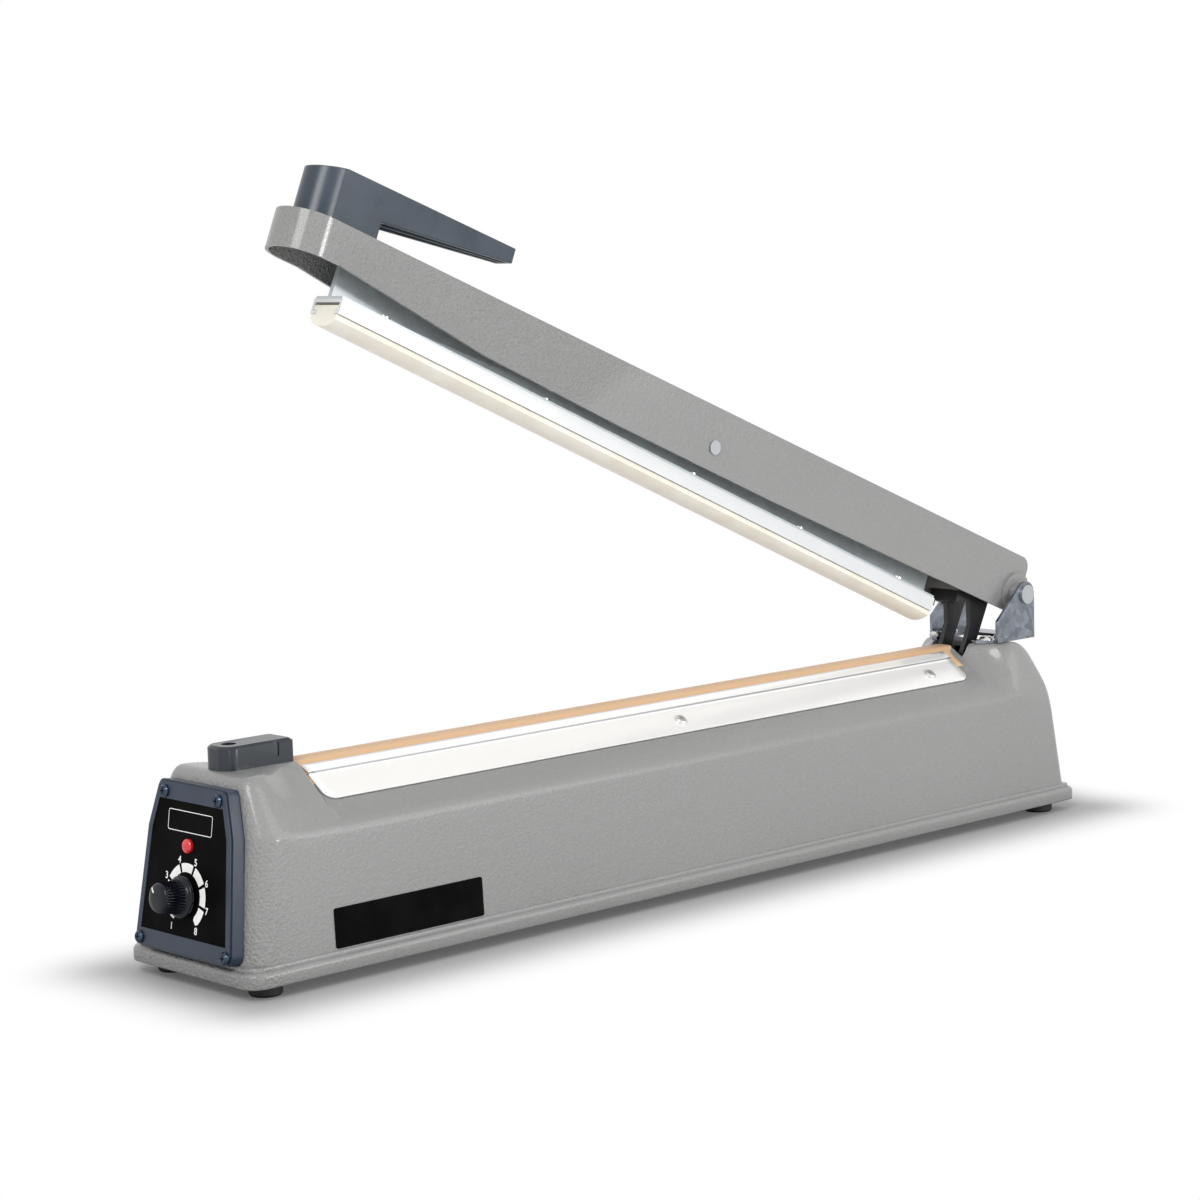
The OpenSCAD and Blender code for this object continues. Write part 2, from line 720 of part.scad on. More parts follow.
knob_back = 1.2;
module knob_shaft() {
    color("silver") placed() on_panel() translate([0, knob_up, -wall_t - 2.5])
        cylinder(r = shaft_r, h = wall_t + 2.5 + bezel_t + knob_out * 0.6);
}

// Fluted knob: flat skirt, ribbed body and a pointer line cut in its rim
module dial_knob() {
    flutes = 18;
    color("darkslategray") placed() on_panel() translate([0, knob_up, bezel_t]) difference() {
        union() {
            translate([0, 0, knob_back]) cylinder(r1 = skirt_r, r2 = skirt_r - 0.5, h = 1.6);
            translate([0, 0, knob_back]) cylinder(r1 = knob_r + 1, r2 = knob_r, h = knob_out - knob_back - knob_chamfer);
            translate([0, 0, knob_out - knob_chamfer])
                cylinder(r1 = knob_r, r2 = knob_r - knob_chamfer, h = knob_chamfer);
        }
        for (i = [0 : flutes - 1]) {
            rotate((i + 0.5) * 360 / flutes) translate([knob_r + 0.45, 0, knob_back + 2.4])
                cylinder(r = 0.8, h = knob_out);
        }
        rotate(135) translate([knob_r * 0.35, -0.4, knob_out - 0.5]) cube([knob_r, 0.8, 1]);
        translate([0, 0, -1]) cylinder(r = shaft_r + fit_gap, h = knob_out * 0.6 + 1.2);
        translate([0, 0, -1]) cylinder(r = bush_r + pass_gap, h = 1 + 0.8 + pass_gap);
    }
}

board_x = 55;
standoff_h = 8;
board_t = 1.6;
board_places = [for (x = [4, board_l - 4], y = [4 - board_w / 2, board_w / 2 - 4]) [board_x + x, y]];
module timer_board() {
    color("seagreen") placed() difference() {
        translate([board_x, -board_w / 2, plate_z + standoff_h]) cube([board_l, board_w, board_t]);
        for (p = board_places) {
            translate([p.x, p.y, plate_z]) cylinder(r = 1.6, h = 2 * standoff_h);
        }
    }
}

module board_standoffs() {
    color("ivory") placed() for (p = board_places) {
        translate([p.x, p.y, plate_z]) cylinder(r = 3, h = standoff_h);
        translate([p.x, p.y, plate_z + standoff_h]) cylinder(r = 1.55, h = board_t + 1.4);
    }
}

// Relay, smoothing capacitor, terminal row and a regulator on the board
module board_parts() {
    top = plate_z + standoff_h + board_t;
    color("royalblue") placed() {
        translate([board_x + 10, -19, top]) cube([19, 15.5, 15.5]);
        translate([board_x + 44, 10, top]) cylinder(r = 6.3, h = 20);
        translate([board_x + 40, -20, top]) difference() {
            cube([22, 9, 11]);
            for (i = [0 : 3]) {
                translate([3.2 + 5.2 * i, 4.5, 5]) cylinder(r = 1.8, h = 8);
            }
        }
        translate([board_x + 14, 8, top]) cube([10, 4.5, 15]);
    }
}

block_wall = 2;
module block_outline(m = 0) {
    r = 6 - m;
    rounded([[block_x + m, -block_w / 2 + m], [block_x + block_l - m, -block_w / 2 + m],
             [block_x + block_l - m, block_w / 2 - m], [block_x + m, block_w / 2 - m]], [r, 1.5, 1.5, r]);
}

// Moulded cap over the element's front terminal, hollow from below, with a screw pillar
module terminal_block() {
    edge = 1.2;
    color("dimgray") placed() translate([0, 0, tower_z]) difference() {
        union() {
            linear_extrude(block_h - edge) block_outline();
            hull() {
                translate([0, 0, block_h - edge]) linear_extrude(slice) block_outline($fn = 32);
                translate([0, 0, block_h - slice]) linear_extrude(slice) block_outline(edge, $fn = 32);
            }
        }
        difference() {
            translate([0, 0, -1]) linear_extrude(block_h - block_wall + 1) block_outline(block_wall);
            translate([block_screw_x, 0, 0]) cylinder(r = 4, h = block_h);
        }
        translate([block_screw_x, 0, -1]) cylinder(r = block_screw_r + 0.2, h = block_h + 2);
        translate([block_screw_x, 0, block_h - 3.5]) cylinder(r = 3, h = 4);
        translate([block_x + block_l - 7, 0, -1]) cube([20, strip_w + 1, 3], center = true);
        translate([block_x + block_l - 10, -block_w / 2 - 0.5, 3]) cube([2.4, 1.1, block_h]);
    }
}

module block_screw() {
    color("silver") placed() translate([block_screw_x, 0, tower_z + block_h - 3.5])
        screw(block_screw_r - fit_gap, block_h + 3, 2.7, 1.6);
}

module insulating_strip() {
    color("wheat") placed() translate([terminal_x + 1, -strip_w / 2, ridge_z])
        cube([seal_end - terminal_x - 1, strip_w, strip_t]);
}

clamp_h = 3;
tail_z = ridge_z - wall_t - clamp_h;
module heating_element() {
    color("dimgray") placed() {
        translate([terminal_x + 2, -element_w / 2, strip_z])
            cube([seal_end + element_t - terminal_x - 2, element_w, element_t]);
        translate([seal_end, -element_w / 2, tail_z]) cube([element_t, element_w, strip_z - tail_z]);
    }
}

// Brass clamp under the block at the front, and one behind the ridge's end at the rear
module element_terminals() {
    color("gold") placed() {
        translate([terminal_x + 2, -element_w / 2, element_z]) cube([8, element_w, clamp_h]);
        translate([terminal_x + 6, 0, element_z + clamp_h]) cylinder(r = 2, h = 1);
        translate([seal_end - 7, -element_w / 2, tail_z]) cube([7, element_w, clamp_h]);
    }
}

// Non-stick cloth over the ridge: it lies on both flanks and on the element
module seal_cover() {
    knee = [strip_w / 2 + 0.1, element_z];
    inner = [flank(cover_reach, 0), flank(0, 0), knee];
    outer = [flank(cover_reach, cover_t), flank(0.1, cover_t), knee + [cover_t * 0.6, cover_t]];
    color("peru") placed() along(seal_x0, seal_end)
        polygon(concat(outer, mirrored(outer), [for (i = [0 : 2]) mirrored(inner)[2 - i]],
                       [for (i = [2 : -1 : 0]) inner[i]]));
}

lip_deg = 58;
lip_l = 2.2;
lip_d = 3;
trim_sweep = 9.5;
sweep_steps = 10;
// Polished plate that holds the cloth down: its upper edge is turned up and its front end sweeps back
module trim_plate(side) {
    fold = flank(lip_d, cover_t);
    top = fold + lip_l * [-cos(lip_deg), sin(lip_deg)];
    fold_out = flank(lip_d, cover_t + trim_t);
    top_out = top + trim_t * [sin(lip_deg), cos(lip_deg)];
    x0 = seal_x0 + 0.4;
    x1 = seal_end - 2;
    low = flank(trim_reach, 0).x;
    sweep = [for (i = [0 : sweep_steps]) let (t = i / sweep_steps) [x0 + trim_sweep * t * t * (3 - 2 * t), low * t]];
    color("white") placed() difference() {
        intersection() {
            mirror([0, side < 0 ? 1 : 0, 0]) along(seal_x0, seal_end)
                polygon([flank(trim_reach, cover_t), flank(trim_reach, cover_t + trim_t), fold_out, top_out,
                         top, fold]);
            mirror([0, side < 0 ? 1 : 0, 0]) translate([0, 0, shoulder_z - 1]) linear_extrude(tower_h) difference() {
                rounded([[x0, 0], [x1 - 9, 0], [x1 - 9, 7], [x1, 14], [x1, low], [x0, low]], [0, 0, 0, 4, 6, 0]);
                polygon(concat(sweep, [[x0 + trim_sweep, low + 1], [x0 - 1, low + 1], [x0 - 1, 0]]));
            }
        }
        for (x = trim_screw_x) {
            on_flank(side) translate([x, side * trim_screw_d, -2]) cylinder(r = trim_screw_r + 0.3, h = 6);
        }
    }
}
module near_trim() {
    trim_plate(-1);
}
module far_trim() {
    trim_plate(1);
}

module trim_screws() {
    color("silver") placed() for (side = [-1, 1], x = trim_screw_x) {
        on_flank(side) translate([x, side * trim_screw_d, cover_t + trim_t])
            screw(trim_screw_r - fit_gap, 5, 2.9, 1.3);
    }
}

ear_r = 6.2;
bracket_x0 = prong_x + 0.5;
bracket_x1 = pin_x + ear_r;
ear_foot_x = pin_x - 21.7;
// U-shaped plate: a forked base screwed to the tower and two ears that carry the hinge pin
module hinge_bracket() {
    inner = ear_span / 2 - sheet_t;
    color("lightsteelblue") placed() {
        difference() {
            translate([0, 0, tower_z]) linear_extrude(sheet_t)
                polygon([[bracket_x0, -prong_w / 2], [bracket_x0 + 5, -inner], [bracket_x1, -inner],
                         [bracket_x1, inner], [bracket_x0 + 5, inner], [bracket_x0, prong_w / 2]]);
            translate([bracket_x0 - 1, -slot_w / 2, tower_z - 1])
                cube([slot_x1 - bracket_x0 + 1, slot_w, sheet_t + 2]);
            for (x = bracket_screw_x, side = [-1, 1]) {
                translate([x, side * bracket_screw_y, tower_z - 1]) cylinder(r = bracket_screw_r + 0.3, h = 4);
            }
        }
        for (side = [-1, 1]) {
            across(sheet_t, side * (inner + sheet_t / 2)) difference() {
                union() {
                    polygon([[ear_foot_x, tower_z], [bracket_x1, tower_z], [bracket_x1, pin_z],
                             [pin_x - ear_r * 0.75, pin_z + ear_r * 0.66], [ear_foot_x, tower_z + 10.5]]);
                    translate([pin_x, pin_z]) circle(ear_r);
                }
                translate([pin_x, pin_z]) circle(pin_r + fit_gap);
            }
        }
    }
}

module bracket_screws() {
    color("silver") placed() for (x = bracket_screw_x, side = [-1, 1]) {
        translate([x, side * bracket_screw_y, tower_z + sheet_t]) screw(bracket_screw_r - fit_gap, 9, 3.2, 1.7);
    }
}

rivet_h = 1.3;
rivet_r = 4.6;
module hinge_pin() {
    span = ear_span + 0.1;
    color("silver") placed() translate([pin_x, 0, pin_z]) rotate([90, 0, 0]) {
        cylinder(r = pin_r, h = span, center = true);
        for (side = [-1, 1]) {
            translate([0, 0, side * (span + rivet_h) / 2]) cylinder(r = rivet_r, h = rivet_h, center = true);
        }
    }
}

core_at = [case_l - core_x, plate_z];
limb = core_l / 6;
window_h = core_h - 2 * limb;
// Stacked laminations with a limb through the coil
module transformer_core() {
    color("dimgray") placed() across(core_w) translate(core_at) difference() {
        translate([-core_l / 2, 0]) square([core_l, core_h]);
        for (side = [-1, 1]) {
            translate([side * 1.5 * limb - limb / 2, limb]) square([limb, window_h]);
        }
    }
}

module transformer_coil() {
    gap = 0.4;
    color("chocolate") placed() translate([core_at.x, 0, core_at.y + core_h / 2]) difference() {
        translate([0, 0, 0]) linear_extrude(window_h - 2 * gap, center = true)
            round_rect(4 * limb - 2 * gap, core_w + 2 * limb, 5);
        cube([2 * limb + 2 * gap, core_w + 2 * gap, core_h], center = true);
    }
}

strap_t = 1.2;
strap_tab = 11;
// Steel strap over the core with a tab on each side
module transformer_strap() {
    gap = 0.1;
    outer = core_l + 2 * gap + 2 * strap_t;
    color("silver") placed() difference() {
        across(core_w * 0.6) translate(core_at) {
            translate([-outer / 2, core_h + gap]) square([outer, strap_t]);
            for (side = [-1, 1]) {
                translate([side * (outer - strap_t) / 2 - strap_t / 2, 0]) square([strap_t, core_h + gap + strap_t]);
                translate([side * (outer + strap_tab) / 2 - strap_tab / 2, 0]) square([strap_tab, strap_t]);
            }
        }
        for (side = [-1, 1]) {
            translate([core_at.x + side * (outer + strap_tab) / 2, 0, plate_z - 1]) cylinder(r = 2.2, h = 5);
        }
    }
}

module strap_screws() {
    outer = core_l + 0.2 + 2 * strap_t;
    color("silver") placed() for (side = [-1, 1]) {
        translate([core_at.x + side * (outer + strap_tab) / 2, 0, plate_z + strap_t])
            screw(1.9, strap_t, 3.4, 2);
    }
}

cross_closed = arm_point(cross_u, -cross_v, closed_deg);
leg_eye_r = cross_r + 2;
switch_y = fork_span / 2;
switch_w = 6.4;
switch_h = 19.8;
switch_l = 8;
plunger_r = 1.3;
plunger_tip = cross_closed.x + leg_eye_r + touch_gap;
switch_x = plunger_tip + 2.6;
switch_holes = [-4.8, 4.8];
module switch_body() {
    color("black") placed() difference() {
        translate([switch_x, switch_y - switch_w / 2, cross_closed[1] - switch_h / 2])
            cube([switch_l, switch_w, switch_h]);
        translate([switch_x - 1, switch_y, cross_closed[1]]) rotate([0, 90, 0])
            cylinder(r = plunger_r + 0.1, h = 6);
        for (d = switch_holes) {
            translate([switch_x + switch_l * 0.6, switch_y, cross_closed[1] + d]) rotate([90, 0, 0])
                cylinder(r = 1.2, h = 12, center = true);
        }
    }
}

module switch_plunger() {
    color("firebrick") placed() translate([plunger_tip, switch_y, cross_closed[1]]) rotate([0, 90, 0])
        cylinder(r = plunger_r, h = 2.6 + 5 - plunger_travel - 0.3);
}

bracket_t = 1.2;
switch_tab = 12;
// Upright angle that holds the switch over the bottom plate
module switch_bracket() {
    y0 = switch_y + switch_w / 2;
    color("silver") placed() difference() {
        union() {
            translate([switch_x, y0, plate_z]) cube([switch_l, bracket_t, cross_closed[1] + switch_h / 2 - plate_z]);
            translate([switch_x, y0, plate_z]) cube([switch_l, switch_tab, bracket_t]);
        }
        for (d = switch_holes) {
            translate([switch_x + switch_l * 0.6, y0, cross_closed[1] + d]) rotate([90, 0, 0])
                cylinder(r = 1.2, h = 12, center = true);
        }
        translate([switch_x + switch_l / 2, y0 + switch_tab * 0.6, plate_z - 1]) cylinder(r = 1.6, h = 4);
    }
}

module switch_screws() {
    y0 = switch_y - switch_w / 2;
    color("silver") placed() {
        for (d = switch_holes) {
            translate([switch_x + switch_l * 0.6, y0, cross_closed[1] + d]) rotate([90, 0, 0])
                screw(1.15, switch_w + bracket_t + 1, 2, 1);
        }
        translate([switch_x + switch_l / 2, y0 + switch_w + switch_tab * 0.6, plate_z + bracket_t])
            screw(1.5, bracket_t, 2.7, 1.4);
    }
}

inlet_flange = 1.8;
// Bush in the rear wall that the supply cord passes through
module cord_inlet() {
    sleeve_r = inlet_r + inlet_wall;
    color("black") placed() on_rear() translate([inlet_y, inlet_up, fit_gap]) difference() {
        union() {
            cylinder(r = sleeve_r + 2, h = inlet_flange);
            translate([0, 0, -wall_t - 3]) cylinder(r = sleeve_r, h = wall_t + 4);
            translate([0, 0, -wall_t - 3]) cylinder(r1 = sleeve_r, r2 = sleeve_r + 1, h = 2.4);
        }
        translate([0, 0, -wall_t - 4]) cylinder(r = inlet_r, h = wall_t + 10);
    }
}

module anchor_pin() {
    color("silver") placed() across(2 * (lug_y + lug_t)) translate(anchor_at) circle(anchor_r);
}

// Return spring: an extension coil from the anchor to the fork's cross pin, with a hook at each end
cross_rest = arm_point(cross_u, -cross_v);
spring_from = anchor_at;
spring_to = [cross_rest.x, cross_rest[1]];
spring_len = norm(spring_to - spring_from);
spring_deg = atan2(spring_to.y - spring_from.y, spring_to.x - spring_from.x);
coil_mid_r = spring_r - wire_r;
coil_from = spring_r + 2;
coil_to = spring_len - coil_from;
coil_steps = 12;
coil_sides = 6;
// Ring of the wire's outline at turn t, in the plane through the spring's axis; turn 0 is on top
function coil_ring(t) = let (x = coil_from + (coil_to - coil_from) * t / spring_turns)
    [for (i = [0 : coil_sides - 1]) let (a = 360 * i / coil_sides, r = coil_mid_r + wire_r * cos(a))
        [x + wire_r * sin(a), -r * sin(360 * t), r * cos(360 * t)]];
module coil() {
    rings = spring_turns * coil_steps;
    points = [for (k = [0 : rings]) each coil_ring(k / coil_steps)];
    sides = [for (k = [0 : rings - 1], i = [0 : coil_sides - 1])
        let (j = (i + 1) % coil_sides, a = k * coil_sides, b = a + coil_sides) [a + i, a + j, b + j, b + i]];
    ends = [[for (i = [coil_sides - 1 : -1 : 0]) i],
            [for (i = [0 : coil_sides - 1]) rings * coil_sides + i]];
    polyhedron(points, concat(sides, ends));
}

// Half-round hook that bears on a pin of radius r at the local origin, and its straight run to the coil
module spring_hook(r) {
    back = coil_mid_r - wire_r - r - 0.3;
    translate([back, 0, 0]) rotate([90, 0, 0]) rotate([0, 0, 90]) rotate_extrude(angle = 180)
        translate([coil_mid_r, 0]) circle(wire_r, $fn = 24);
    translate([back, 0, coil_mid_r]) rotate([0, 90, 0]) cylinder(r = wire_r, h = coil_from - back + wire_r / 2);
}
module return_spring() {
    color("sienna") placed() translate([spring_from.x, 0, spring_from.y]) rotate([0, -spring_deg, 0]) {
        coil();
        spring_hook(anchor_r);
        translate([spring_len, 0, 0]) mirror([1, 0, 0]) spring_hook(cross_r);
    }
}

// Side outline of the arm: u ahead of the pin, v above it
nose_u = pin_x - nose_inset;
nose_r = arm_w / 2;
arm_back = 5;
arm_side = [[-arm_back, -4], [3, -boss_r], [180, -boss_r], [280, -8.5], [363, -5.8], [nose_u - 24, 2.3],
            [nose_u, 2.3], [nose_u, arm_top], [back_r - arm_back, arm_top], [-arm_back, arm_top - back_r]];
module arm_profile() {
    polygon([for (p = arm_side) [-p.x, p.y]]);
    translate([arm_back - back_r, arm_top - back_r]) circle(back_r);
}
// Plan of the arm with its round nose, moved in by m
module arm_plan(m) {
    translate([-nose_u + nose_r, 0]) circle(nose_r - m);
    translate([-nose_u + nose_r, -nose_r + m]) square([nose_u - nose_r + arm_back + 10, 2 * (nose_r - m)]);
}
boss_y = ear_span / 2 - sheet_t - pass_gap;
neck_r = 5.5;
// Disc round the pin from inside the arm's wall out to y
module boss(side, r, y) {
    inner = nose_r - arm_t;
    translate([0, side * (y + inner) / 2, 0]) rotate([90, 0, 0]) cylinder(r = r, h = y - inner, center = true);
}
// Pressed steel channel, open below, with a round nose and two stepped bosses that fill the ears' span
module arm() {
    color("darkgray") placed() arm_frame() difference() {
        union() {
            difference() {
                intersection() {
                    across(arm_w + 2) arm_profile();
                    translate([0, 0, -20]) linear_extrude(60) arm_plan(0);
                }
                translate([0, 0, -20]) linear_extrude(20 + arm_top - arm_t) arm_plan(arm_t);
            }
            intersection() {
                for (side = [-1, 1]) {
                    boss(side, boss_r, nose_r + boss_out);
                    boss(side, neck_r, boss_y);
                }
                across(ear_span) arm_profile();
            }
        }
        rotate([90, 0, 0]) cylinder(r = pin_r + run_gap, h = 2 * case_w, center = true);
        translate([-rocker_u, 0, rocker_v]) rotate([90, 0, 0])
            cylinder(r = rocker_r + fit_gap, h = 2 * case_w, center = true);
        for (x = grip_screw_u) {
            translate([-x, 0, 0]) cylinder(r = 2.2, h = 2 * arm_top);
        }
    }
}

grip_nose_r = grip_w / 2;
grip_nose = nose_u - nose_r - 2;
grip_end = nose_u - 5 - grip_l;
grip_screw_u = [grip_nose, grip_nose - 18];
grip_wall = 2.2;
grip_beak = grip_nose + 9 - grip_foot_l;
// Side view of the handle: a foot on the arm and a beak that points back along it
grip_side = [[nose_u, 0], [nose_u, grip_h - 4], [grip_nose - 2, grip_h], [grip_end, grip_h + 3.4],
             [grip_end, grip_h - 3.2], [grip_beak, grip_gap], [grip_beak, 0]];
module grip_profile() {
    translate([0, arm_top]) polygon([for (p = grip_side) [-p.x, p.y]]);
}
module grip_plan(m) {
    translate([-grip_nose, 0]) circle(grip_nose_r - m);
    polygon([[-grip_nose, -grip_nose_r + m], [-grip_end - m, -grip_tip_w / 2 + m],
             [-grip_end - m, grip_tip_w / 2 - m], [-grip_nose, grip_nose_r - m]]);
}
// Moulded handle: its beak is hollow below with a rib along the middle
module handle() {
    color("dimgray") placed() arm_frame() difference() {
        intersection() {
            across(grip_w + 2) grip_profile();
            translate([0, 0, arm_top - 1]) linear_extrude(grip_h + 10) grip_plan(0);
        }
        difference() {
            intersection() {
                translate([0, 0, -grip_wall]) across(grip_w) grip_profile();
                translate([3 - grip_beak, -case_w / 2, 0]) cube([case_l, case_w, case_l]);
                translate([0, 0, arm_top - 1]) linear_extrude(grip_h + 10) grip_plan(grip_wall);
            }
            translate([-grip_beak, -0.8, arm_top]) cube([grip_l, 1.6, grip_h]);
        }
        for (x = grip_screw_u) {
            translate([-x, 0, arm_top - 1]) cylinder(r = 1.8, h = 13);
        }
    }
}

module handle_screws() {
    color("silver") placed() arm_frame() for (x = grip_screw_u) {
        translate([-x, 0, arm_top - arm_t]) mirror([0, 0, 1]) screw(1.75, arm_t + 10, 3.3, 1.8);
    }
}

fork_web_u1 = 34;
fork_web_v0 = -15;
fork_web_h = 21;
fork_web_t = 3;
// Points of a leg's side view: the front edge is hollow, the rear edge swells, the foot has an eye
leg = [[26, -8], [19.6, -22], [19.6, -31], [cross_u + leg_eye_r * 0.95, -cross_v + 2],
       [cross_u - leg_eye_r * 0.95, -cross_v + 2], [12.4, -31], [11.6, -21], [10.5, -8]];
module spring_fork() {
    inner = fork_span / 2 - fork_t / 2;
    color("black") placed() arm_frame() difference() {
        union() {
            for (side = [-1, 1]) {
                across(fork_t, side * fork_span / 2) {
                    polygon([for (p = leg) [-p.x, p.y]]);
                    translate([-cross_u, -cross_v]) circle(leg_eye_r);
                    polygon([[-fork_web_u1, fork_web_v0], [-10.5, -8], [-10.5, fork_web_v0 + fork_web_h],
                             [-fork_web_u1, fork_web_v0 + fork_web_h]]);
                }
            }
            translate([-fork_web_u1, -inner, fork_web_v0]) cube([fork_web_t, 2 * inner, fork_web_h]);
        }
        translate([-cross_u, 0, -cross_v]) rotate([90, 0, 0])
            cylinder(r = cross_r + fit_gap, h = case_w, center = true);
        translate([-fork_web_u1, 0, 0]) rotate([0, 90, 0]) cylinder(r = 1.8, h = 20, center = true);
    }
}

saddle_u0 = 26;
saddle_u1 = 46;
saddle_drops = [9, 16];
// Saddle in the arm that carries the fork: a plate against each wall, the far one deeper, and a web
module fork_bracket() {
    w = arm_w - 2 * arm_t - 2 * fit_gap;
    color("gray") placed() arm_frame() {
        for (i = [0, 1]) {
            translate([-saddle_u1, (i - 0.5) * (w - sheet_t) - sheet_t / 2, -saddle_drops[i]])
                cube([saddle_u1 - saddle_u0, sheet_t, saddle_drops[i] + arm_top - arm_t - fit_gap]);
        }
        translate([-fork_web_u1 - sheet_t, -w / 2, -saddle_drops[0]]) cube([sheet_t, w, saddle_drops[0] + 6]);
        translate([-fork_web_u1, 0, 0]) rotate([0, 90, 0]) cylinder(r = 1.75, h = 4);
        translate([fork_web_t - fork_web_u1, 0, 0]) rotate([0, 90, 0]) cylinder(r = 3, h = 1.6);
    }
}

module fork_pin() {
    color("silver") placed() arm_frame() translate([-cross_u, 0, -cross_v]) rotate([90, 0, 0])
        cylinder(r = cross_r, h = fork_span + fork_t + 1.6, center = true);
}

module rocker_pin() {
    color("silver") placed() arm_frame() translate([-rocker_u, 0, rocker_v]) rotate([90, 0, 0]) {
        cylinder(r = rocker_r, h = arm_w + 0.1, center = true);
        for (side = [-1, 1]) {
            translate([0, 0, side * (arm_w / 2 + 0.45)]) cylinder(r = rocker_r + 0.7, h = 0.8, center = true);
        }
    }
}

rivet_shank = 1.5;
rivet_y = 5;
rivet_places = [for (x = [bar_l0 + 25, bar_l0 / 2 + 12, 0, bar_l1 / 2 - 12, bar_l1 - 25]) [x, rivet_y]];
// Both rows of rivets: the foot is riveted on each side of the web
module at_rivets() {
    for (p = rivet_places, side = [-1, 1]) {
        translate([p.x, side * p.y, -bar_drop]) children();
    }
}

// Galvanised rail: an upright web on a foot, rocking on the pin through its web
module bar_channel() {
    color("lightsteelblue") placed() bar_frame() difference() {
        along(bar_l0, bar_l1) {
            translate([-rail_w / 2, -bar_drop]) square([rail_w, rail_t]);
            translate([-web_t / 2, -bar_drop]) square([web_t, rail_h]);
        }
        rotate([90, 0, 0]) cylinder(r = rocker_r + run_gap, h = case_w, center = true);
        at_rivets() translate([0, 0, -1]) cylinder(r = rivet_shank + fit_gap, h = rail_t + 2);
    }
}

// Aluminium extrusion with a slot below for the rubber
module rubber_holder() {
    lip = 2;
    top = -bar_drop;
    color("whitesmoke") placed() bar_frame() difference() {
        along(bar_l0, bar_l1) difference() {
            translate([-holder_w / 2, top - holder_h]) square([holder_w, holder_h]);
            translate([-holder_w / 2 + holder_t, top - holder_h + holder_t])
                square([holder_w - 2 * holder_t, holder_h - 2 * holder_t]);
            translate([-holder_w / 2 + holder_t + lip, top - holder_h - 1])
                square([holder_w - 2 * holder_t - 2 * lip, holder_t + 2]);
        }
        at_rivets() translate([0, 0, -holder_t - 1]) cylinder(r = rivet_shank + fit_gap, h = holder_t + 2);
    }
}

module bar_rivets() {
    color("silver") placed() bar_frame() at_rivets() {
        translate([0, 0, -holder_t]) cylinder(r = rivet_shank, h = holder_t + rail_t);
        translate([0, 0, rail_t]) cylinder(r = rivet_shank * 1.7, h = 1);
    }
}

// Silicone strip: a head that slides into the holder, a neck between its lips and a domed crown
module sealing_rubber() {
    gap = 0.1;
    floor_z = -bar_drop - holder_h;
    head_w = holder_w - 2 * holder_t - 2 * gap;
    neck_w = head_w - 2 * 2;
    crown_w = holder_w - 2;
    crown_r = crown_w * 0.75;
    color("cornsilk") placed() bar_frame() along(bar_l0, bar_l1) {
        translate([-head_w / 2, floor_z + holder_t + gap])
            square([head_w, holder_h - 2 * holder_t - 1 - 2 * gap]);
        translate([-neck_w / 2, floor_z - 0.5]) square([neck_w, holder_t + 1]);
        intersection() {
            translate([0, floor_z - rubber_out + crown_r]) circle(crown_r);
            translate([-crown_w / 2, floor_z - rubber_out]) square([crown_w, rubber_out - gap]);
        }
    }
}

casing();
bottom_plate();
rubber_feet();
foot_screws();
bezel();
bezel_screws();
dial_label();
side_label();
indicator_lamp();
potentiometer();
dial_knob();
knob_shaft();
timer_board();
board_parts();
board_standoffs();
terminal_block();
block_screw();
insulating_strip();
heating_element();
element_terminals();
seal_cover();
near_trim();
far_trim();
trim_screws();
hinge_bracket();
bracket_screws();
hinge_pin();
transformer_core();
transformer_coil();
transformer_strap();
strap_screws();
switch_body();
switch_plunger();
switch_bracket();
switch_screws();
cord_inlet();
anchor_pin();
return_spring();
arm();
handle();
handle_screws();
spring_fork();
fork_bracket();
fork_pin();
rocker_pin();
bar_channel();
rubber_holder();
sealing_rubber();
bar_rivets();
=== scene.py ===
# %% [markdown]
# # A hand impulse sealer, dressed cell by cell
# A long painted casing carries a heating strip, and a sprung arm presses a rubber bar down on it.
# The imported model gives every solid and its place. This script gives the surfaces their finish,
# and replaces the solids whose real surface flows, bulges or repeats more than a solid can show.

import math

import bmesh
import bpy
import numpy as np
from mathutils import Matrix


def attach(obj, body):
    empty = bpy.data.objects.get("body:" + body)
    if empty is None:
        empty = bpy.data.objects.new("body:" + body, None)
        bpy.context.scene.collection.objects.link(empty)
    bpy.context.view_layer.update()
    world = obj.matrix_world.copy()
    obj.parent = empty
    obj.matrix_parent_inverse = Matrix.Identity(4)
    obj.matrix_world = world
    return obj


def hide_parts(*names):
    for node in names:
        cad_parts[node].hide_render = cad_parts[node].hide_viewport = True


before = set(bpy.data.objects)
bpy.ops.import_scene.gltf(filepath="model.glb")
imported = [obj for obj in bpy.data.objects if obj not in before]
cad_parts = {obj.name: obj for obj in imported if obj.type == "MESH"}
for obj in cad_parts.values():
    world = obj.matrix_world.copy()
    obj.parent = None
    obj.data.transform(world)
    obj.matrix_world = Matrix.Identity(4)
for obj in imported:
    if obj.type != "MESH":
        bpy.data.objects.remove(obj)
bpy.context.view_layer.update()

# %% [markdown]
# ## Sizes
# The lengths repeat the named values of the solids, in millimetres, counted from the casing's
# front end. Small helpers turn a point to metres, lay points on the leaning front face and ease a
# number.

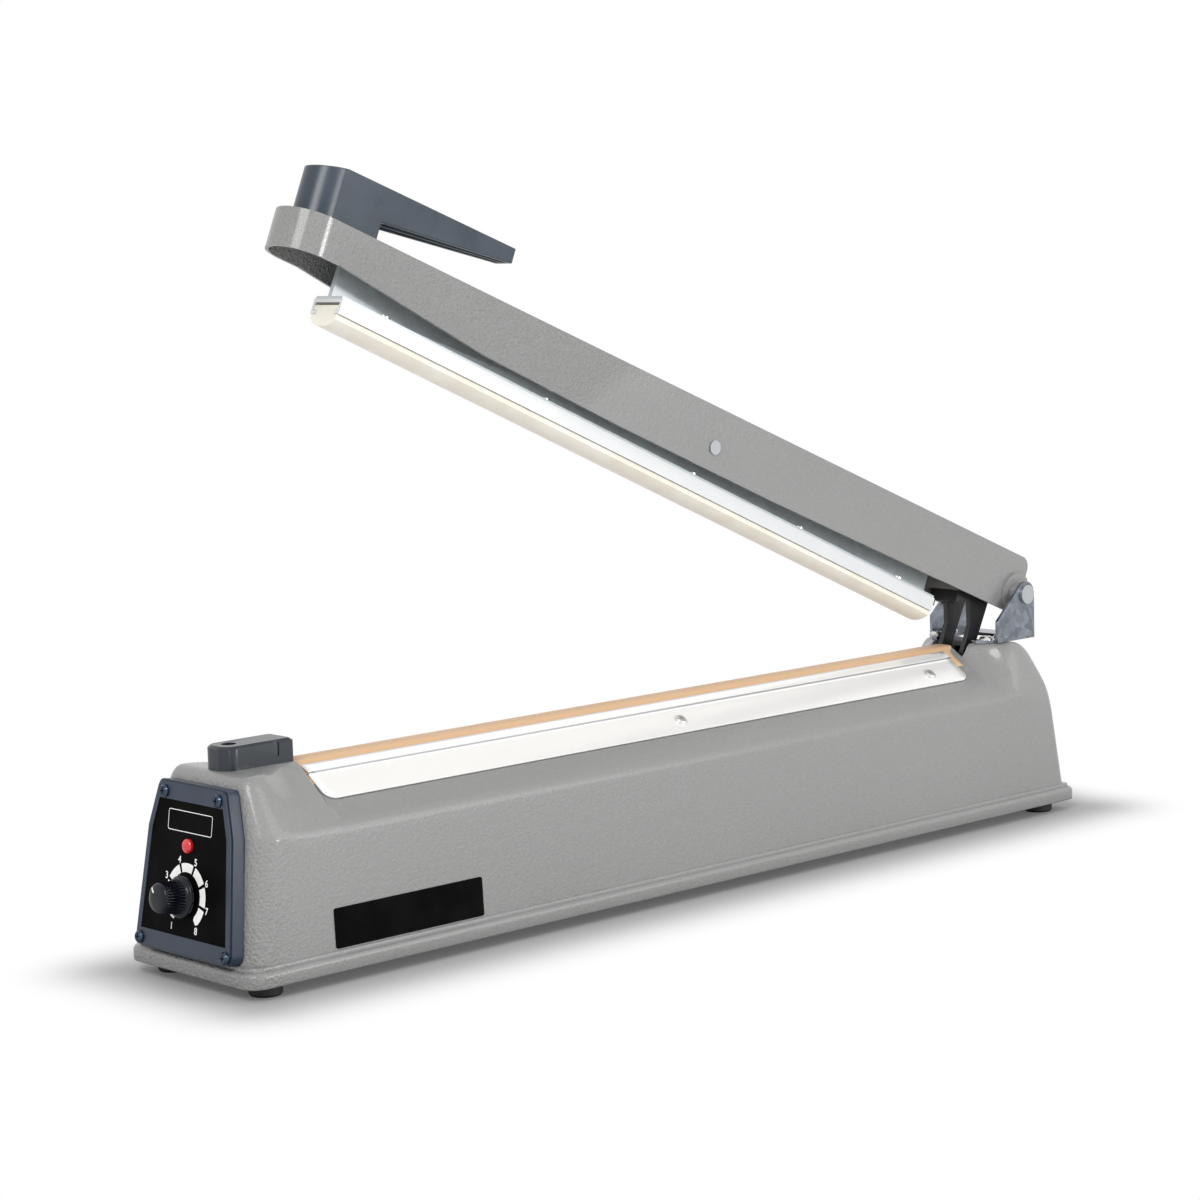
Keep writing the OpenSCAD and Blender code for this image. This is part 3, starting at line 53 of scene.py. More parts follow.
# %% Sizes that the surfaces share with the solids
MM = 0.001
MID_X = 242.1257
LENGTH, HALF_W, STEP = 500.0, 42.5, 3.4
BASE_Z, FLANGE_Z, SHOULDER_Z = 5.1, 11.6, 60.8
RIDGE_Z, TOWER_Z = 82.2, 84.1
WALL_Y, SHOULDER_Y, RIDGE_Y, TOWER_Y = 39.1, 36.7, 5.5, 25.0
FRONT_LEAN, REAR_LEAN = math.radians(7.6), math.radians(8.1)
PIN = np.array([488.5, 0.0, 105.95])
ARM_DEG, ARM_TOP, ARM_HALF = 22.5, 18.6, 14.7
SEAL_X0, SEAL_END = 52.0, 452.0
FLANK_TURN = math.atan((RIDGE_Z - SHOULDER_Z) / (SHOULDER_Y - RIDGE_Y))


def metres(points):
    """Millimetres from the casing's front end to metres in the part's frame."""
    return (np.asarray(points, float) - np.array([MID_X, 0.0, 0.0])) * MM


def on_panel(across, up, out):
    """Points of the leaning front face in millimetres: to the right, up the face, out of it."""
    across, up, out = np.broadcast_arrays(np.asarray(across, float), np.asarray(up, float),
                                          np.asarray(out, float))
    return np.stack([STEP + up * math.sin(FRONT_LEAN) - out * math.cos(FRONT_LEAN), -across,
                     FLANGE_Z + up * math.cos(FRONT_LEAN) + out * math.sin(FRONT_LEAN)], axis=-1)


def smooth_step(value, low, high):
    """0 below low, 1 above high and a cubic ease between them."""
    t = np.clip((value - low) / (high - low), 0.0, 1.0)
    return t * t * (3 - 2 * t)


# %% [markdown]
# ## The camera
# The photograph looks at the near long side and the dial from a little above. The camera's place
# was worked out from the corners of the casing and the line of the arm, so it is given as three
# directions.

# %% Camera at the photograph's angle
right, up_dir, ahead = (0.733, -0.680, -0.029), (0.105, 0.070, 0.992), (0.672, 0.730, -0.123)
camera_data = bpy.data.cameras.new("camera")
camera_place, LENS_MM = (-0.9063, -0.9650, 0.2914), 91.07
camera_data.lens, camera_data.sensor_width = LENS_MM, 36.0
camera_data.clip_start, camera_data.clip_end = 0.01, 50.0
camera = bpy.data.objects.new("camera", camera_data)
turn = Matrix((right, up_dir, tuple(-c for c in ahead))).transposed()
camera.matrix_world = (Matrix.Translation(camera_place)
                       @ turn.to_quaternion().to_matrix().to_4x4())
bpy.context.scene.collection.objects.link(camera)
bpy.context.scene.camera = camera
print("camera height over the table, mm:", round(camera.location.z / MM, 1))

# %% [markdown]
# ## Material maths as Python
# A finish is a small formula over the surface. Wiring it by hand hides the formula, so a field
# wraps a socket and lets Python's own operators add the Math nodes.


# %% A field of numbers or colours, and a finish that owns its nodes
class Field:
    """A socket in a material, used in formulas."""

    def __init__(self, finish, socket):
        self.finish, self.socket = finish, socket

    def maths(self, operation, *others):
        return self.finish.node("ShaderNodeMath", {"operation": operation},
                                dict(enumerate((self,) + others)))

    def __add__(self, other):
        return self.maths("ADD", other)

    def __sub__(self, other):
        return self.maths("SUBTRACT", other)

    def __mul__(self, other):
        return self.maths("MULTIPLY", other)

    def __rsub__(self, other):
        return self.finish.node("ShaderNodeMath", {"operation": "SUBTRACT"}, {0: other, 1: self})

    def power(self, exponent):
        return self.maths("POWER", exponent)

    def ease(self, low, high):
        """0 below low and 1 above high."""
        return self.finish.node("ShaderNodeMapRange", {"interpolation_type": "SMOOTHSTEP"},
                                {"Value": self, "From Min": low, "From Max": high})


class Finish:
    """One material with a Principled shader, and the nodes that feed it."""

    def __init__(self, name, **constants):
        self.material = bpy.data.materials.new(name)
        self.material.use_nodes = True
        self.tree = self.material.node_tree
        self.shader = self.tree.nodes["Principled BSDF"]
        for key, value in constants.items():
            self.feed(key.replace("_", " "), value)

    def node(self, kind, settings=None, inputs=None, out=0):
        """Any node: its settings first, then the values or links of its sockets."""
        node = self.tree.nodes.new(kind)
        for key, value in (settings or {}).items():
            setattr(node, key, value)
        for key, value in (inputs or {}).items():
            self.join(node.inputs[key], value)
        return Field(self, node.outputs[out])

    def join(self, socket, value):
        if isinstance(value, Field):
            self.tree.links.new(value.socket, socket)
        elif socket.type == "RGBA" and len(value) == 3:
            socket.default_value = (*value, 1.0)
        else:
            socket.default_value = value

    def feed(self, name, value):
        self.join(self.shader.inputs[name], value)

    def place(self, scale=(1, 1, 1)):
        """Object coordinates in metres, stretched."""
        spot = self.node("ShaderNodeTexCoord", out="Object")
        return self.node("ShaderNodeMapping", {}, {"Vector": spot, "Scale": scale})

    def axis(self, name, spot=None):
        """One coordinate of the place as a number."""
        return self.node("ShaderNodeSeparateXYZ", {}, {0: spot or self.place()}, out=name)

    def noise(self, scale, detail=3.0, rough=0.5, spot=None):
        return self.node("ShaderNodeTexNoise", {}, {"Vector": spot or self.place(), "Scale": scale,
                                                    "Detail": detail, "Roughness": rough})

    def cells(self, scale, feature="F1", spot=None, out="Distance", **inputs):
        return self.node("ShaderNodeTexVoronoi", {"feature": feature},
                         {"Vector": spot or self.place(), "Scale": scale, **inputs}, out=out)

    def blend(self, factor, low, high):
        """Colour between low and high."""
        return self.node("ShaderNodeMix", {"data_type": "RGBA"},
                         {"Factor": factor, 6: low, 7: high}, out=2)

    def bump(self, height, distance, strength):
        """Relief of that depth in metres, feeding the shader's normal."""
        bump = self.node("ShaderNodeBump", {}, {"Height": height, "Distance": distance,
                                                "Strength": strength})
        self.feed("Normal", bump)


# %% [markdown]
# ## Painted sheet metal
# The casing and the arm wear a grey hammered enamel. It dries with an orange-peel skin: shallow
# dimples a few tenths of a millimetre to two millimetres wide that break every highlight into
# sparkle. Rounded cells and a finer noise give the dimples, and the finest noise the metallic
# fleck. The coat lies thicker, and its dimples deeper, towards the dial end and the arm's nose.


# %% Grey hammered enamel
# metres: the coat is thick ahead of THICK_X and thin behind THIN_X; over ARM_LEVEL both move back
THICK_X, THIN_X, ARM_LEVEL = -0.244, -0.212, 0.12


def enamel(name, colour, depth, coat=0.6):
    """depth is the relief of the dimples where the coat is thick, in metres."""
    finish = Finish(name, Coat_Weight=coat, Coat_Roughness=0.14)
    spot = finish.place()
    drift = finish.noise(160.0, 2.0, 0.5, spot)
    wide = finish.cells(760.0, "SMOOTH_F1", spot, Smoothness=0.5)
    fine = finish.noise(1700.0, 2.0, 0.55, spot)
    above = (finish.axis("Z", spot) - ARM_LEVEL).maths("MAXIMUM", 0.0)
    thick = 1 - (finish.axis("X", spot) - above * 2).ease(THICK_X, THIN_X)
    finish.bump((wide * 0.5 + fine * 0.5 + drift * 0.05) * (thick * 0.8 + 0.2), depth, 0.9)
    fleck = finish.noise(2600.0, 2.0, 0.7, spot).ease(0.35, 0.72)
    cloud = finish.noise(9.0, 2.0, 0.5, spot)
    darker = tuple(c * 0.84 for c in colour)
    lighter = tuple(min(c * 1.18, 1.0) for c in colour)
    finish.feed("Base Color", finish.blend(fleck * 0.6 + cloud * 0.4, darker, lighter))
    finish.feed("Roughness", fine * 0.16 + 0.27)
    return finish


grey_enamel = enamel("grey_enamel", (0.242, 0.242, 0.239), 0.0013)
fork_enamel = enamel("fork_enamel", (0.010, 0.010, 0.011), 0.0004, 0.12)
print("enamel finishes:", grey_enamel.material.name, fork_enamel.material.name)

# %% [markdown]
# ## Moulded plastics
# Bezel, block and handle come from spark-eroded moulds, so a fine even grain lies on a satin
# black. It has a cold cast. The knob was moulded smooth and is glossier.


# %% Black mouldings, the label film and the lamp
def moulding(name, colour, grain, rough, coat=0.0, shine=0.5):
    """Plastic with an eroded grain: grain is the relief in metres, rough the mean roughness."""
    finish = Finish(name, Coat_Weight=coat, Coat_Roughness=0.12, Specular_IOR_Level=shine)
    spot = finish.place()
    erosion = finish.noise(3800.0, 3.0, 0.62, spot)
    handled = finish.noise(38.0, 3.0, 0.6, spot)
    finish.bump(erosion, grain, 0.6)
    finish.feed("Base Color", finish.blend(handled.ease(0.3, 0.75), colour,
                                           tuple(min(c * 1.35 + 0.004, 1.0) for c in colour)))
    finish.feed("Roughness", handled * 0.14 + (rough - 0.07) + erosion * 0.05)
    return finish


black_moulding = moulding("black_moulding", (0.013, 0.023, 0.043), 0.00006, 0.34)
block_moulding = moulding("block_moulding", (0.006, 0.010, 0.016), 0.00005, 0.3, 0.2, 0.45)
handle_moulding = moulding("handle_moulding", (0.026, 0.038, 0.054), 0.00006, 0.26)
knob_plastic = moulding("knob_plastic", (0.002, 0.003, 0.007), 0.00001, 0.2, 0.2, 0.2)
switch_plastic = moulding("switch_plastic", (0.012, 0.012, 0.013), 0.00005, 0.42)
label_film = moulding("label_film", (0.001, 0.001, 0.001), 0.00001, 0.6, 0.0, 0.03)
nylon = moulding("nylon", (0.62, 0.60, 0.54), 0.00003, 0.38)
board_blue = moulding("board_blue", (0.03, 0.09, 0.32), 0.00002, 0.3)

lamp_lens = Finish("lamp_lens", Roughness=0.08, Coat_Weight=0.8, Coat_Roughness=0.03)
glow = lamp_lens.noise(300.0, 1.0, 0.4)
lamp_lens.feed("Base Color", lamp_lens.blend(glow, (0.48, 0.0, 0.008), (0.75, 0.012, 0.02)))
print("materials so far:", len(bpy.data.materials))

# %% [markdown]
# ## Rubber and cloth
# The feet are matt moulded rubber. The press bar's strip is extruded silicone: cream, a little
# dusty, with faint lines along it. The cover is glass cloth under a brown non-stick coat, so its
# weave shows as a fine grid of relief, and the wire's heat has toasted a band along the middle.

# %% Rubbers, coated cloth and the laminate strip
foot_rubber = moulding("foot_rubber", (0.010, 0.010, 0.011), 0.00008, 0.62)

silicone = Finish("silicone", Subsurface_Weight=0.12, Subsurface_Scale=0.004)
lines = silicone.noise(900.0, 2.0, 0.5, silicone.place(scale=(0.04, 1, 1)))
dust = silicone.noise(60.0, 4.0, 0.6)
silicone.bump(lines, 0.00005, 0.5)
silicone.feed("Base Color", silicone.blend(dust.ease(0.35, 0.7), (0.80, 0.76, 0.66),
                                           (0.86, 0.83, 0.75)))
silicone.feed("Roughness", dust * 0.2 + 0.36)


def coated_cloth(name, colour, toasted):
    """Plain weave: two crossed sine waves, one thread up where the other is down."""
    finish = Finish(name, Specular_IOR_Level=0.25)
    spot = finish.place(scale=(5200, 5200, 5200))
    warp = finish.axis("X", spot).maths("SINE")
    weft = (finish.axis("Y", spot) + finish.axis("Z", spot)).maths("SINE")
    finish.bump(warp * weft * 0.5 + 0.5, 0.00006, 0.7)
    across = finish.axis("Y").maths("ABSOLUTE")
    band = 1 - across.ease(0.0012, 0.0042)
    mottle = finish.noise(70.0, 4.0, 0.6, finish.place(scale=(0.3, 1, 1)))
    finish.feed("Base Color", finish.blend(band * (mottle * 0.8 + 0.15), colour, toasted))
    finish.feed("Roughness", mottle * 0.2 + 0.3)
    return finish


tan_cloth = coated_cloth("tan_cloth", (0.66, 0.435, 0.255), (0.57, 0.35, 0.18))
laminate = coated_cloth("laminate", (0.42, 0.30, 0.15), (0.30, 0.19, 0.08))
print("materials so far:", len(bpy.data.materials))

# %% [markdown]
# ## Metals
# Bright zinc, chromed screws, cold-rolled strip and polished trim differ in their roughness and
# in what breaks it up: galvanised sheet has spangles, brushed metal has long scratches, and
# polished trim shows only faint wipe marks. Each is one formula over scratches, spangle and
# smudge.


# %% One formula for the metals
def metal(name, colour, rough, scratch, scratches, spangle=0.0, relief=0.00002, dull=0.85,
          share=1.0):
    """Scratches run where the scale is small; spangle mixes whole crystals lighter or darker.
    Where colour is None, the base colour is fed later."""
    finish = Finish(name, Metallic=share)
    spot = finish.place()
    smudge = finish.noise(45.0, 4.0, 0.6, spot)
    lines = finish.noise(1400.0, 3.0, 0.6, finish.place(scale=scratch))
    crystals = finish.cells(320.0, spot=spot, out="Color")
    crystal = finish.node("ShaderNodeSeparateColor", {}, {0: crystals})
    finish.bump(lines * scratches + crystal * spangle * 0.3 + smudge * 0.1, relief, 0.6)
    if colour:
        shade = crystal * spangle + smudge * (1 - spangle)
        finish.feed("Base Color", finish.blend(shade, tuple(c * dull for c in colour), colour))
    wear = lines * scratches * 0.22 + crystal * spangle * 0.12 + smudge * 0.1
    finish.feed("Roughness", wear + (rough - 0.05))
    return finish


polished_trim = metal("polished_trim", None, 0.12, (0.02, 1, 1), 0.15, relief=0.000004,
                      share=0.25)
zinc_steel = metal("zinc_steel", (0.60, 0.65, 0.67), 0.30, (0.05, 1, 1), 0.5, 0.55, share=0.6)
bracket_zinc = metal("bracket_zinc", (0.33, 0.36, 0.41), 0.16, (1, 0.1, 1), 0.4, 0.6,
                     relief=0.00016, dull=0.42)
white_aluminium = Finish("white_aluminium", Metallic=0.35, Coat_Weight=0.1, Coat_Roughness=0.2)
dust = white_aluminium.noise(50.0, 4.0, 0.6)
lines = white_aluminium.noise(1500.0, 2.0, 0.5, white_aluminium.place(scale=(0.03, 1, 1)))
white_aluminium.bump(lines, 0.00003, 0.5)
white_aluminium.feed("Base Color", white_aluminium.blend(dust, (0.66, 0.67, 0.68),
                                                         (0.76, 0.77, 0.77)))
white_aluminium.feed("Roughness", lines * 0.15 + 0.33)

# painted shade: a fine dark line in the trims' base colour along the fold, at a fixed distance down
# the flank
FOLD_D = 7.65
down = (polished_trim.axis("Y").maths("ABSOLUTE") - RIDGE_Y * MM) * math.cos(FLANK_TURN)
down = down - (polished_trim.axis("Z") - RIDGE_Z * MM) * math.sin(FLANK_TURN)
off_fold_shade = (down - FOLD_D * MM).maths("ABSOLUTE").ease(0.0001, 0.0005)
polished_trim.feed("Base Color", polished_trim.blend(off_fold_shade, (0.30, 0.30, 0.30),
                                                     (0.91, 0.905, 0.895)))

screw_steel = metal("screw_steel", (0.74, 0.74, 0.73), 0.2, (1, 1, 1), 0.5)
pin_steel = metal("pin_steel", (0.56, 0.58, 0.60), 0.26, (1, 1, 1), 0.5)
blue_zinc = metal("blue_zinc", (0.06, 0.085, 0.12), 0.12, (1, 1, 1), 0.4)
plate_steel = metal("plate_steel", (0.52, 0.53, 0.54), 0.34, (0.05, 1, 1), 0.6, 0.4)
element_alloy = metal("element_alloy", (0.42, 0.40, 0.37), 0.32, (0.03, 1, 1), 0.7)
spring_steel = metal("spring_steel", (0.40, 0.27, 0.16), 0.36, (1, 1, 1), 0.5)
brass = metal("brass", (0.72, 0.52, 0.20), 0.28, (1, 0.1, 1), 0.5)
core_iron = metal("core_iron", (0.20, 0.19, 0.19), 0.45, (1, 0.02, 1), 0.9, relief=0.0001)
coil_tape = moulding("coil_tape", (0.52, 0.30, 0.05), 0.00003, 0.28, 0.3)

board_green = Finish("board_green", Roughness=0.35, Coat_Weight=0.4, Coat_Roughness=0.1)
tracks = board_green.cells(220.0, "DISTANCE_TO_EDGE").ease(0.02, 0.05)
board_green.bump(tracks, 0.00004, 0.4)
board_green.feed("Base Color", board_green.blend(tracks, (0.05, 0.26, 0.12), (0.012, 0.13, 0.05)))
print("materials so far:", len(bpy.data.materials))

# %% [markdown]
# ## Mesh helpers
# A new surface is a grid of points worked out as whole arrays. Several patches that share their
# borders become one mesh, whose doubled border points are merged, so that light runs across the
# joins.


# %% Grids, patches and pieces
MERGE_GAP = 2e-6
BEVEL_DEG = 34


def grid_faces(rows, columns, ring=False):
    """Quads of a grid; with ring the last column joins the first."""
    r, c = np.meshgrid(np.arange(rows - 1), np.arange(columns if ring else columns - 1),
                       indexing="ij")
    here, there = r * columns + c, r * columns + (c + 1) % columns
    return np.stack([here, there, there + columns, here + columns], axis=-1).reshape(-1, 4)


def new_piece(name, mesh, body, finish):
    """A mesh as a finished piece that rides on a body."""
    piece = bpy.data.objects.new(name, mesh)
    bpy.context.scene.collection.objects.link(piece)
    piece.data.materials.append(finish.material)
    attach(piece, body)
    return piece


def shade_smooth(mesh, sharp):
    """Smooth shading that breaks at edges over that many degrees."""
    mesh.polygons.foreach_set("use_smooth", np.ones(len(mesh.polygons), bool))
    mesh.set_sharp_from_angle(angle=math.radians(sharp))


def patchwork(name, patches, body, finish, sharp=35.0, outward=True):
    """patches: (points of rows x columns x 3 in millimetres, ring, mask of kept quads or None)."""
    points, faces, start = [], [], 0
    for patch, ring, keep in patches:
        quads = grid_faces(patch.shape[0], patch.shape[1], ring)
        if keep is not None:
            quads = quads[keep.reshape(-1)]
        points.append(metres(patch.reshape(-1, 3)))
        faces.append(quads + start)
        start += patch.shape[0] * patch.shape[1]
    points, faces = np.concatenate(points), np.concatenate(faces)
    mesh = bpy.data.meshes.new(name)
    mesh.from_pydata(points.tolist(), [], faces.tolist())
    merged = bmesh.new()
    merged.from_mesh(mesh)
    bmesh.ops.remove_doubles(merged, verts=merged.verts, dist=MERGE_GAP)
    bmesh.ops.dissolve_degenerate(merged, edges=merged.edges, dist=1e-7)
    loose = [v for v in merged.verts if not v.link_faces]
    bmesh.ops.delete(merged, geom=loose, context="VERTS")
    if outward:
        bmesh.ops.recalc_face_normals(merged, faces=merged.faces)
    merged.to_mesh(mesh)
    merged.free()
    shade_smooth(mesh, sharp)
    piece = new_piece(name, mesh, body, finish)
    print(name, "faces:", len(mesh.polygons))
    return piece


def eased_copy(node, body, finish, width, segments, wide=None, wide_width=0.0):
    """A solid's own mesh with its doubles merged and its edges rounded by a bevel; wide picks
    edges that get a second, larger radius, from the two ends' points."""
    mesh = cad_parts[node].data.copy()
    mesh.name = node + "_eased"
    mesh.materials.clear()
    merged = bmesh.new()
    merged.from_mesh(mesh)
    bmesh.ops.remove_doubles(merged, verts=merged.verts, dist=MERGE_GAP)
    bmesh.ops.dissolve_limit(merged, angle_limit=math.radians(0.6), verts=merged.verts,
                             edges=merged.edges)
    if wide is not None:
        layer = merged.edges.layers.float.new("bevel_weight_edge")
        count = 0
        for edge in merged.edges:
            if len(edge.link_faces) == 2 and edge.calc_face_angle(0.0) > 0.5:
                a, b = (np.array(v.co) / MM + [MID_X, 0, 0] for v in edge.verts)
                if wide(a) and wide(b):
                    edge[layer] = 1.0
                    count += 1
        print(node, "wide edges:", count)
    merged.to_mesh(mesh)
    merged.free()
    shade_smooth(mesh, BEVEL_DEG)
    piece = new_piece(node + "_eased", mesh, body, finish)
    if wide is not None:
        bevel = piece.modifiers.new("wide edge", "BEVEL")
        bevel.limit_method, bevel.width, bevel.segments = "WEIGHT", wide_width * MM, 5
        bevel.use_clamp_overlap = True
    bevel = piece.modifiers.new("eased edge", "BEVEL")
    bevel.limit_method, bevel.angle_limit = "ANGLE", math.radians(BEVEL_DEG)
    bevel.width, bevel.segments, bevel.harden_normals = width * MM, segments, True
    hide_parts(node)


print("helpers ready")

# %% [markdown]
# ## The casing
# The real casing is one casting: two towers, a ridge between them and a bead over the base
# flange, with every corner run smoothly into the next. The solid has the same planes but meets
# them at edges. So the skin is a height over the plan: for each place along the casing, a line
# falls from the top edge to the shoulder, and the top edge itself wanders from the tower's width
# to the ridge's.


# %% The flat top and the roof
PAD_Y, PRONG_Y = 9.0, 14.0
# the top's half width after the front tower: each value, and where its ease starts and stops
TOP_WIDTHS = ((PAD_Y, 19, 43), (RIDGE_Y, 50.4, 53), (PRONG_Y, 451.5, 460), (TOWER_Y, 458, 468))
RIDGE_STARTS, RIDGE_STOPS = (50.6, 53), (452, 459)
TOP_BLENDS = (0.35, 1.2, 4.6)


def top_edge(x):
    """Half width and height of the flat top: tower, pad under the block, ridge, prongs, tower."""
    half = before = TOWER_Y
    for width, start, stop in TOP_WIDTHS:
        half = half + (width - before) * smooth_step(x, start, stop)
        before = width
    on_ridge = smooth_step(x, *RIDGE_STARTS) - smooth_step(x, *RIDGE_STOPS)
    return half, TOWER_Z + (RIDGE_Z - TOWER_Z) * on_ridge


def roof(x, y):
    """Height of the skin: the lower of the flat top and the flank, their meeting rounded off.
    The rounding is the usual smooth minimum of two numbers with a blend width."""
    half, height = top_edge(x)
    slope = (height - SHOULDER_Z) / (SHOULDER_Y - half)
    flank = SHOULDER_Z + (SHOULDER_Y - np.abs(y)) * slope
    blend = np.interp(half, [RIDGE_Y, PAD_Y, TOWER_Y], TOP_BLENDS)
    h = np.clip(0.5 + 0.5 * (flank - height) / blend, 0, 1)
    return flank * (1 - h) + height * h - blend * h * (1 - h)


def quarter_inset(distance, radius):
    """How far a quarter-round of that radius has still to rise, at a distance behind its face."""
    d = np.clip(radius - distance, 0, radius)
    return radius - np.sqrt(radius * radius - d * d)


print("half widths of the top, mm:", [round(float(top_edge(x)[0]), 1) for x in (14, 47, 250, 480)])

# %% [markdown]
# A section of the casing runs up the wall, turns round the shoulder and follows the roof to the
# middle. Each of the three has a fixed number of columns, so that all sections fit together.

# %% Cross-sections of the casing
FRONT_CORNER_R, REAR_CORNER_R, FRONT_TOP_R, REAR_TOP_R = 10.0, 5.0, 5.0, 12.0
LEAN_X0, TAPER, REAR_LEAN_X = 12, 55.0, 484
SHOULDER_R, SHOULDER_GROWTH, REAR_FLANK = 6.0, 52.0, (462, 486)
SLOT_HALF, SLOT_BACK, SLOT_END, SLOT_DEPTH = 11.05, 2.9, 483.4, 4.5
# the roof's columns; outside the prong's width they stretch to meet the shoulder's rounding
upper_y = np.array([0, 2.5, 4.6, 5.1, 5.4, 5.7, 6.1, 6.8, 7.8, 9.2, SLOT_HALF, 12.4, 13.2, PRONG_Y,
                    15.2, 16.6, 18, 19.4, 20.6, 21.6, 22.4, 23.2, 24, 24.8, 25.6, 26.4, 27.4, 28.6,
                    30, 31.4, 32.8, 34])
SHOULDER_GAP = 0.8
wall_part = np.linspace(0, 1, 14)[:-1]
arc_part = np.linspace(0, 1, 8)


def half_section(x):
    """(y, z) from the wall's foot over the shoulder's rounding to the middle, a row for each x."""
    x = x[:, None]
    half, height = top_edge(x)
    # the shoulder's rounding grows until it takes in half of the rear tower's flank
    shoulder_r = SHOULDER_R + SHOULDER_GROWTH * smooth_step(x, *REAR_FLANK)
    wall_turn = math.atan2(SHOULDER_Z - FLANGE_Z, WALL_Y - SHOULDER_Y)
    flank_turn = np.arctan2(height - SHOULDER_Z, SHOULDER_Y - half)
    tangent = shoulder_r * np.tan((wall_turn - flank_turn) / 2)
    low_y = SHOULDER_Y + tangent * math.cos(wall_turn)
    low_z = SHOULDER_Z - tangent * math.sin(wall_turn)
    wall_y = WALL_Y + (low_y - WALL_Y) * wall_part
    wall_z = FLANGE_Z + (low_z - FLANGE_Z) * wall_part
    centre_y = low_y - shoulder_r * math.sin(wall_turn)
    centre_z = low_z - shoulder_r * math.cos(wall_turn)
    angle = wall_turn + (flank_turn - wall_turn) * arc_part
    arc_y = centre_y + shoulder_r * np.sin(angle)
    arc_z = centre_z + shoulder_r * np.cos(angle)
    top_y = upper_y[::-1][None, :]
    edge = arc_y[:, -1:]
    stretch = (top_y - PRONG_Y) * (edge - SHOULDER_GAP - PRONG_Y) / (upper_y[-1] - PRONG_Y)
    roof_y = np.where(top_y > PRONG_Y, PRONG_Y + stretch, top_y)
    return (np.concatenate([wall_y, arc_y, roof_y], axis=1),
            np.concatenate([wall_z, arc_z, roof(x, roof_y)], axis=1))


print("columns of half a section:", half_section(np.array([250.0]))[0].shape[1])

# %% [markdown]
# Rows of sections stand along the casing, close together where the form changes. At both ends
# they lean with the faces, sink over the top's rounding and draw in round the corners.

# %% Rows of the skin
front_rows = FRONT_CORNER_R * (1 - np.cos(np.linspace(0, np.pi / 2, 9)))
rear_rows = REAR_TOP_R * (1 - np.cos(np.linspace(0, np.pi / 2, 11)))
rear_rows[np.argmin(np.abs(rear_rows - SLOT_BACK))] = SLOT_BACK
stations = np.concatenate([np.arange(14, 56, 1.0), np.linspace(58, 448, 60),
                           np.arange(449.5, 472, 0.75)])
stations[np.argmin(np.abs(stations - SEAL_END))] = SEAL_END
OTHER_END = 400.0


def skin_rows():
    """Rows of the skin: behind the front face, the run between, and before the rear face.
    Near an end a row follows the leaning face; the lean fades out over the taper's length.
    A lean moves a row to another section, so the two are settled in a few rounds."""
    nominal = np.concatenate([STEP + front_rows, stations, LENGTH - STEP - rear_rows[::-1]])
    front_gap = np.concatenate([front_rows, stations - STEP, np.full(len(rear_rows), OTHER_END)])
    rear_gap = np.concatenate([np.full(len(front_rows), OTHER_END), LENGTH - STEP - stations,
                               rear_rows[::-1]])
    drop = quarter_inset(front_gap, FRONT_TOP_R) + quarter_inset(rear_gap, REAR_TOP_R)
    fade_front = 1 - smooth_step(nominal, LEAN_X0, LEAN_X0 + TAPER)
    fade_rear = np.where(nominal < SEAL_END + 0.1, 0,
                         smooth_step(nominal, SEAL_END, REAR_LEAN_X))
    columns = len(wall_part) + len(arc_part)
    z = half_section(nominal)[1]
    for _ in range(4):
        lean = fade_front[:, None] * (z - FLANGE_Z) * math.tan(FRONT_LEAN)
        lean = lean - fade_rear[:, None] * (z - FLANGE_Z) * math.tan(REAR_LEAN)
        x = nominal[:, None] + lean
        y, z = half_section(x.mean(axis=1))
        z[:, columns:] = roof(x[:, columns:], y[:, columns:])
        high = top_edge(x.mean(axis=1))[1]
        lift = np.clip((z - SHOULDER_Z) / (high[:, None] - SHOULDER_Z), 0, None)
        z = z - drop[:, None] * lift
    corner = FRONT_CORNER_R - (FRONT_CORNER_R - REAR_CORNER_R) * np.clip(lift, 0, 1)
    inset = (quarter_inset(front_gap[:, None], corner)
             + quarter_inset(rear_gap[:, None], REAR_CORNER_R))
    return np.stack([x, y * (1 - inset / WALL_Y), z], axis=-1)


half_skin = skin_rows()
skin = np.concatenate([half_skin * [1, -1, 1], half_skin[:, -2::-1]], axis=1)
print("skin grid:", skin.shape, "top, mm:", round(float(skin[..., 2].max()), 2))

# %% [markdown]
# The fork reaches through a slot behind the ridge, so the quads there are left out and short
# walls hang from the slot's border. The front face is closed, and the rear face is drawn in
# towards the round hole of the inlet's bush. The flange below is one profile carried round the
# casing's plan.

# %% Faces, slot and flange
middle = skin.shape[1] // 2
slot_column = int(np.argmin(np.abs(upper_y - SLOT_HALF)))
left, right = middle - slot_column, middle + slot_column
row_x = skin[:, middle, 0]
first = int(np.argmin(np.abs(row_x - SEAL_END)))
last = int(np.argmin(np.abs(row_x - SLOT_END)))
keep = np.ones((skin.shape[0] - 1, skin.shape[1] - 1), bool)
keep[first:last, left:right] = False
hole = skin[first:last + 1, left:right + 1]
# a wall is a strip that hangs straight down from a line of the slot's border
slot_walls = [np.stack([line, line - [0, 0, SLOT_DEPTH]])
              for line in (hole[0], hole[-1], hole[:, 0], hole[:, -1])]


def closed_outline(row):
    """The end row as a ring: its open foot gets points of its own."""
    foot = np.linspace(row[-1], row[0], 12)[1:-1]
    return np.concatenate([row, foot])


def drawn_in(ring, target):
    """Five rows from a ring to the target points, straight and even."""
    part = np.linspace(0, 1, 5)[:, None, None]
    return ring[None] * (1 - part) + target[None] * part


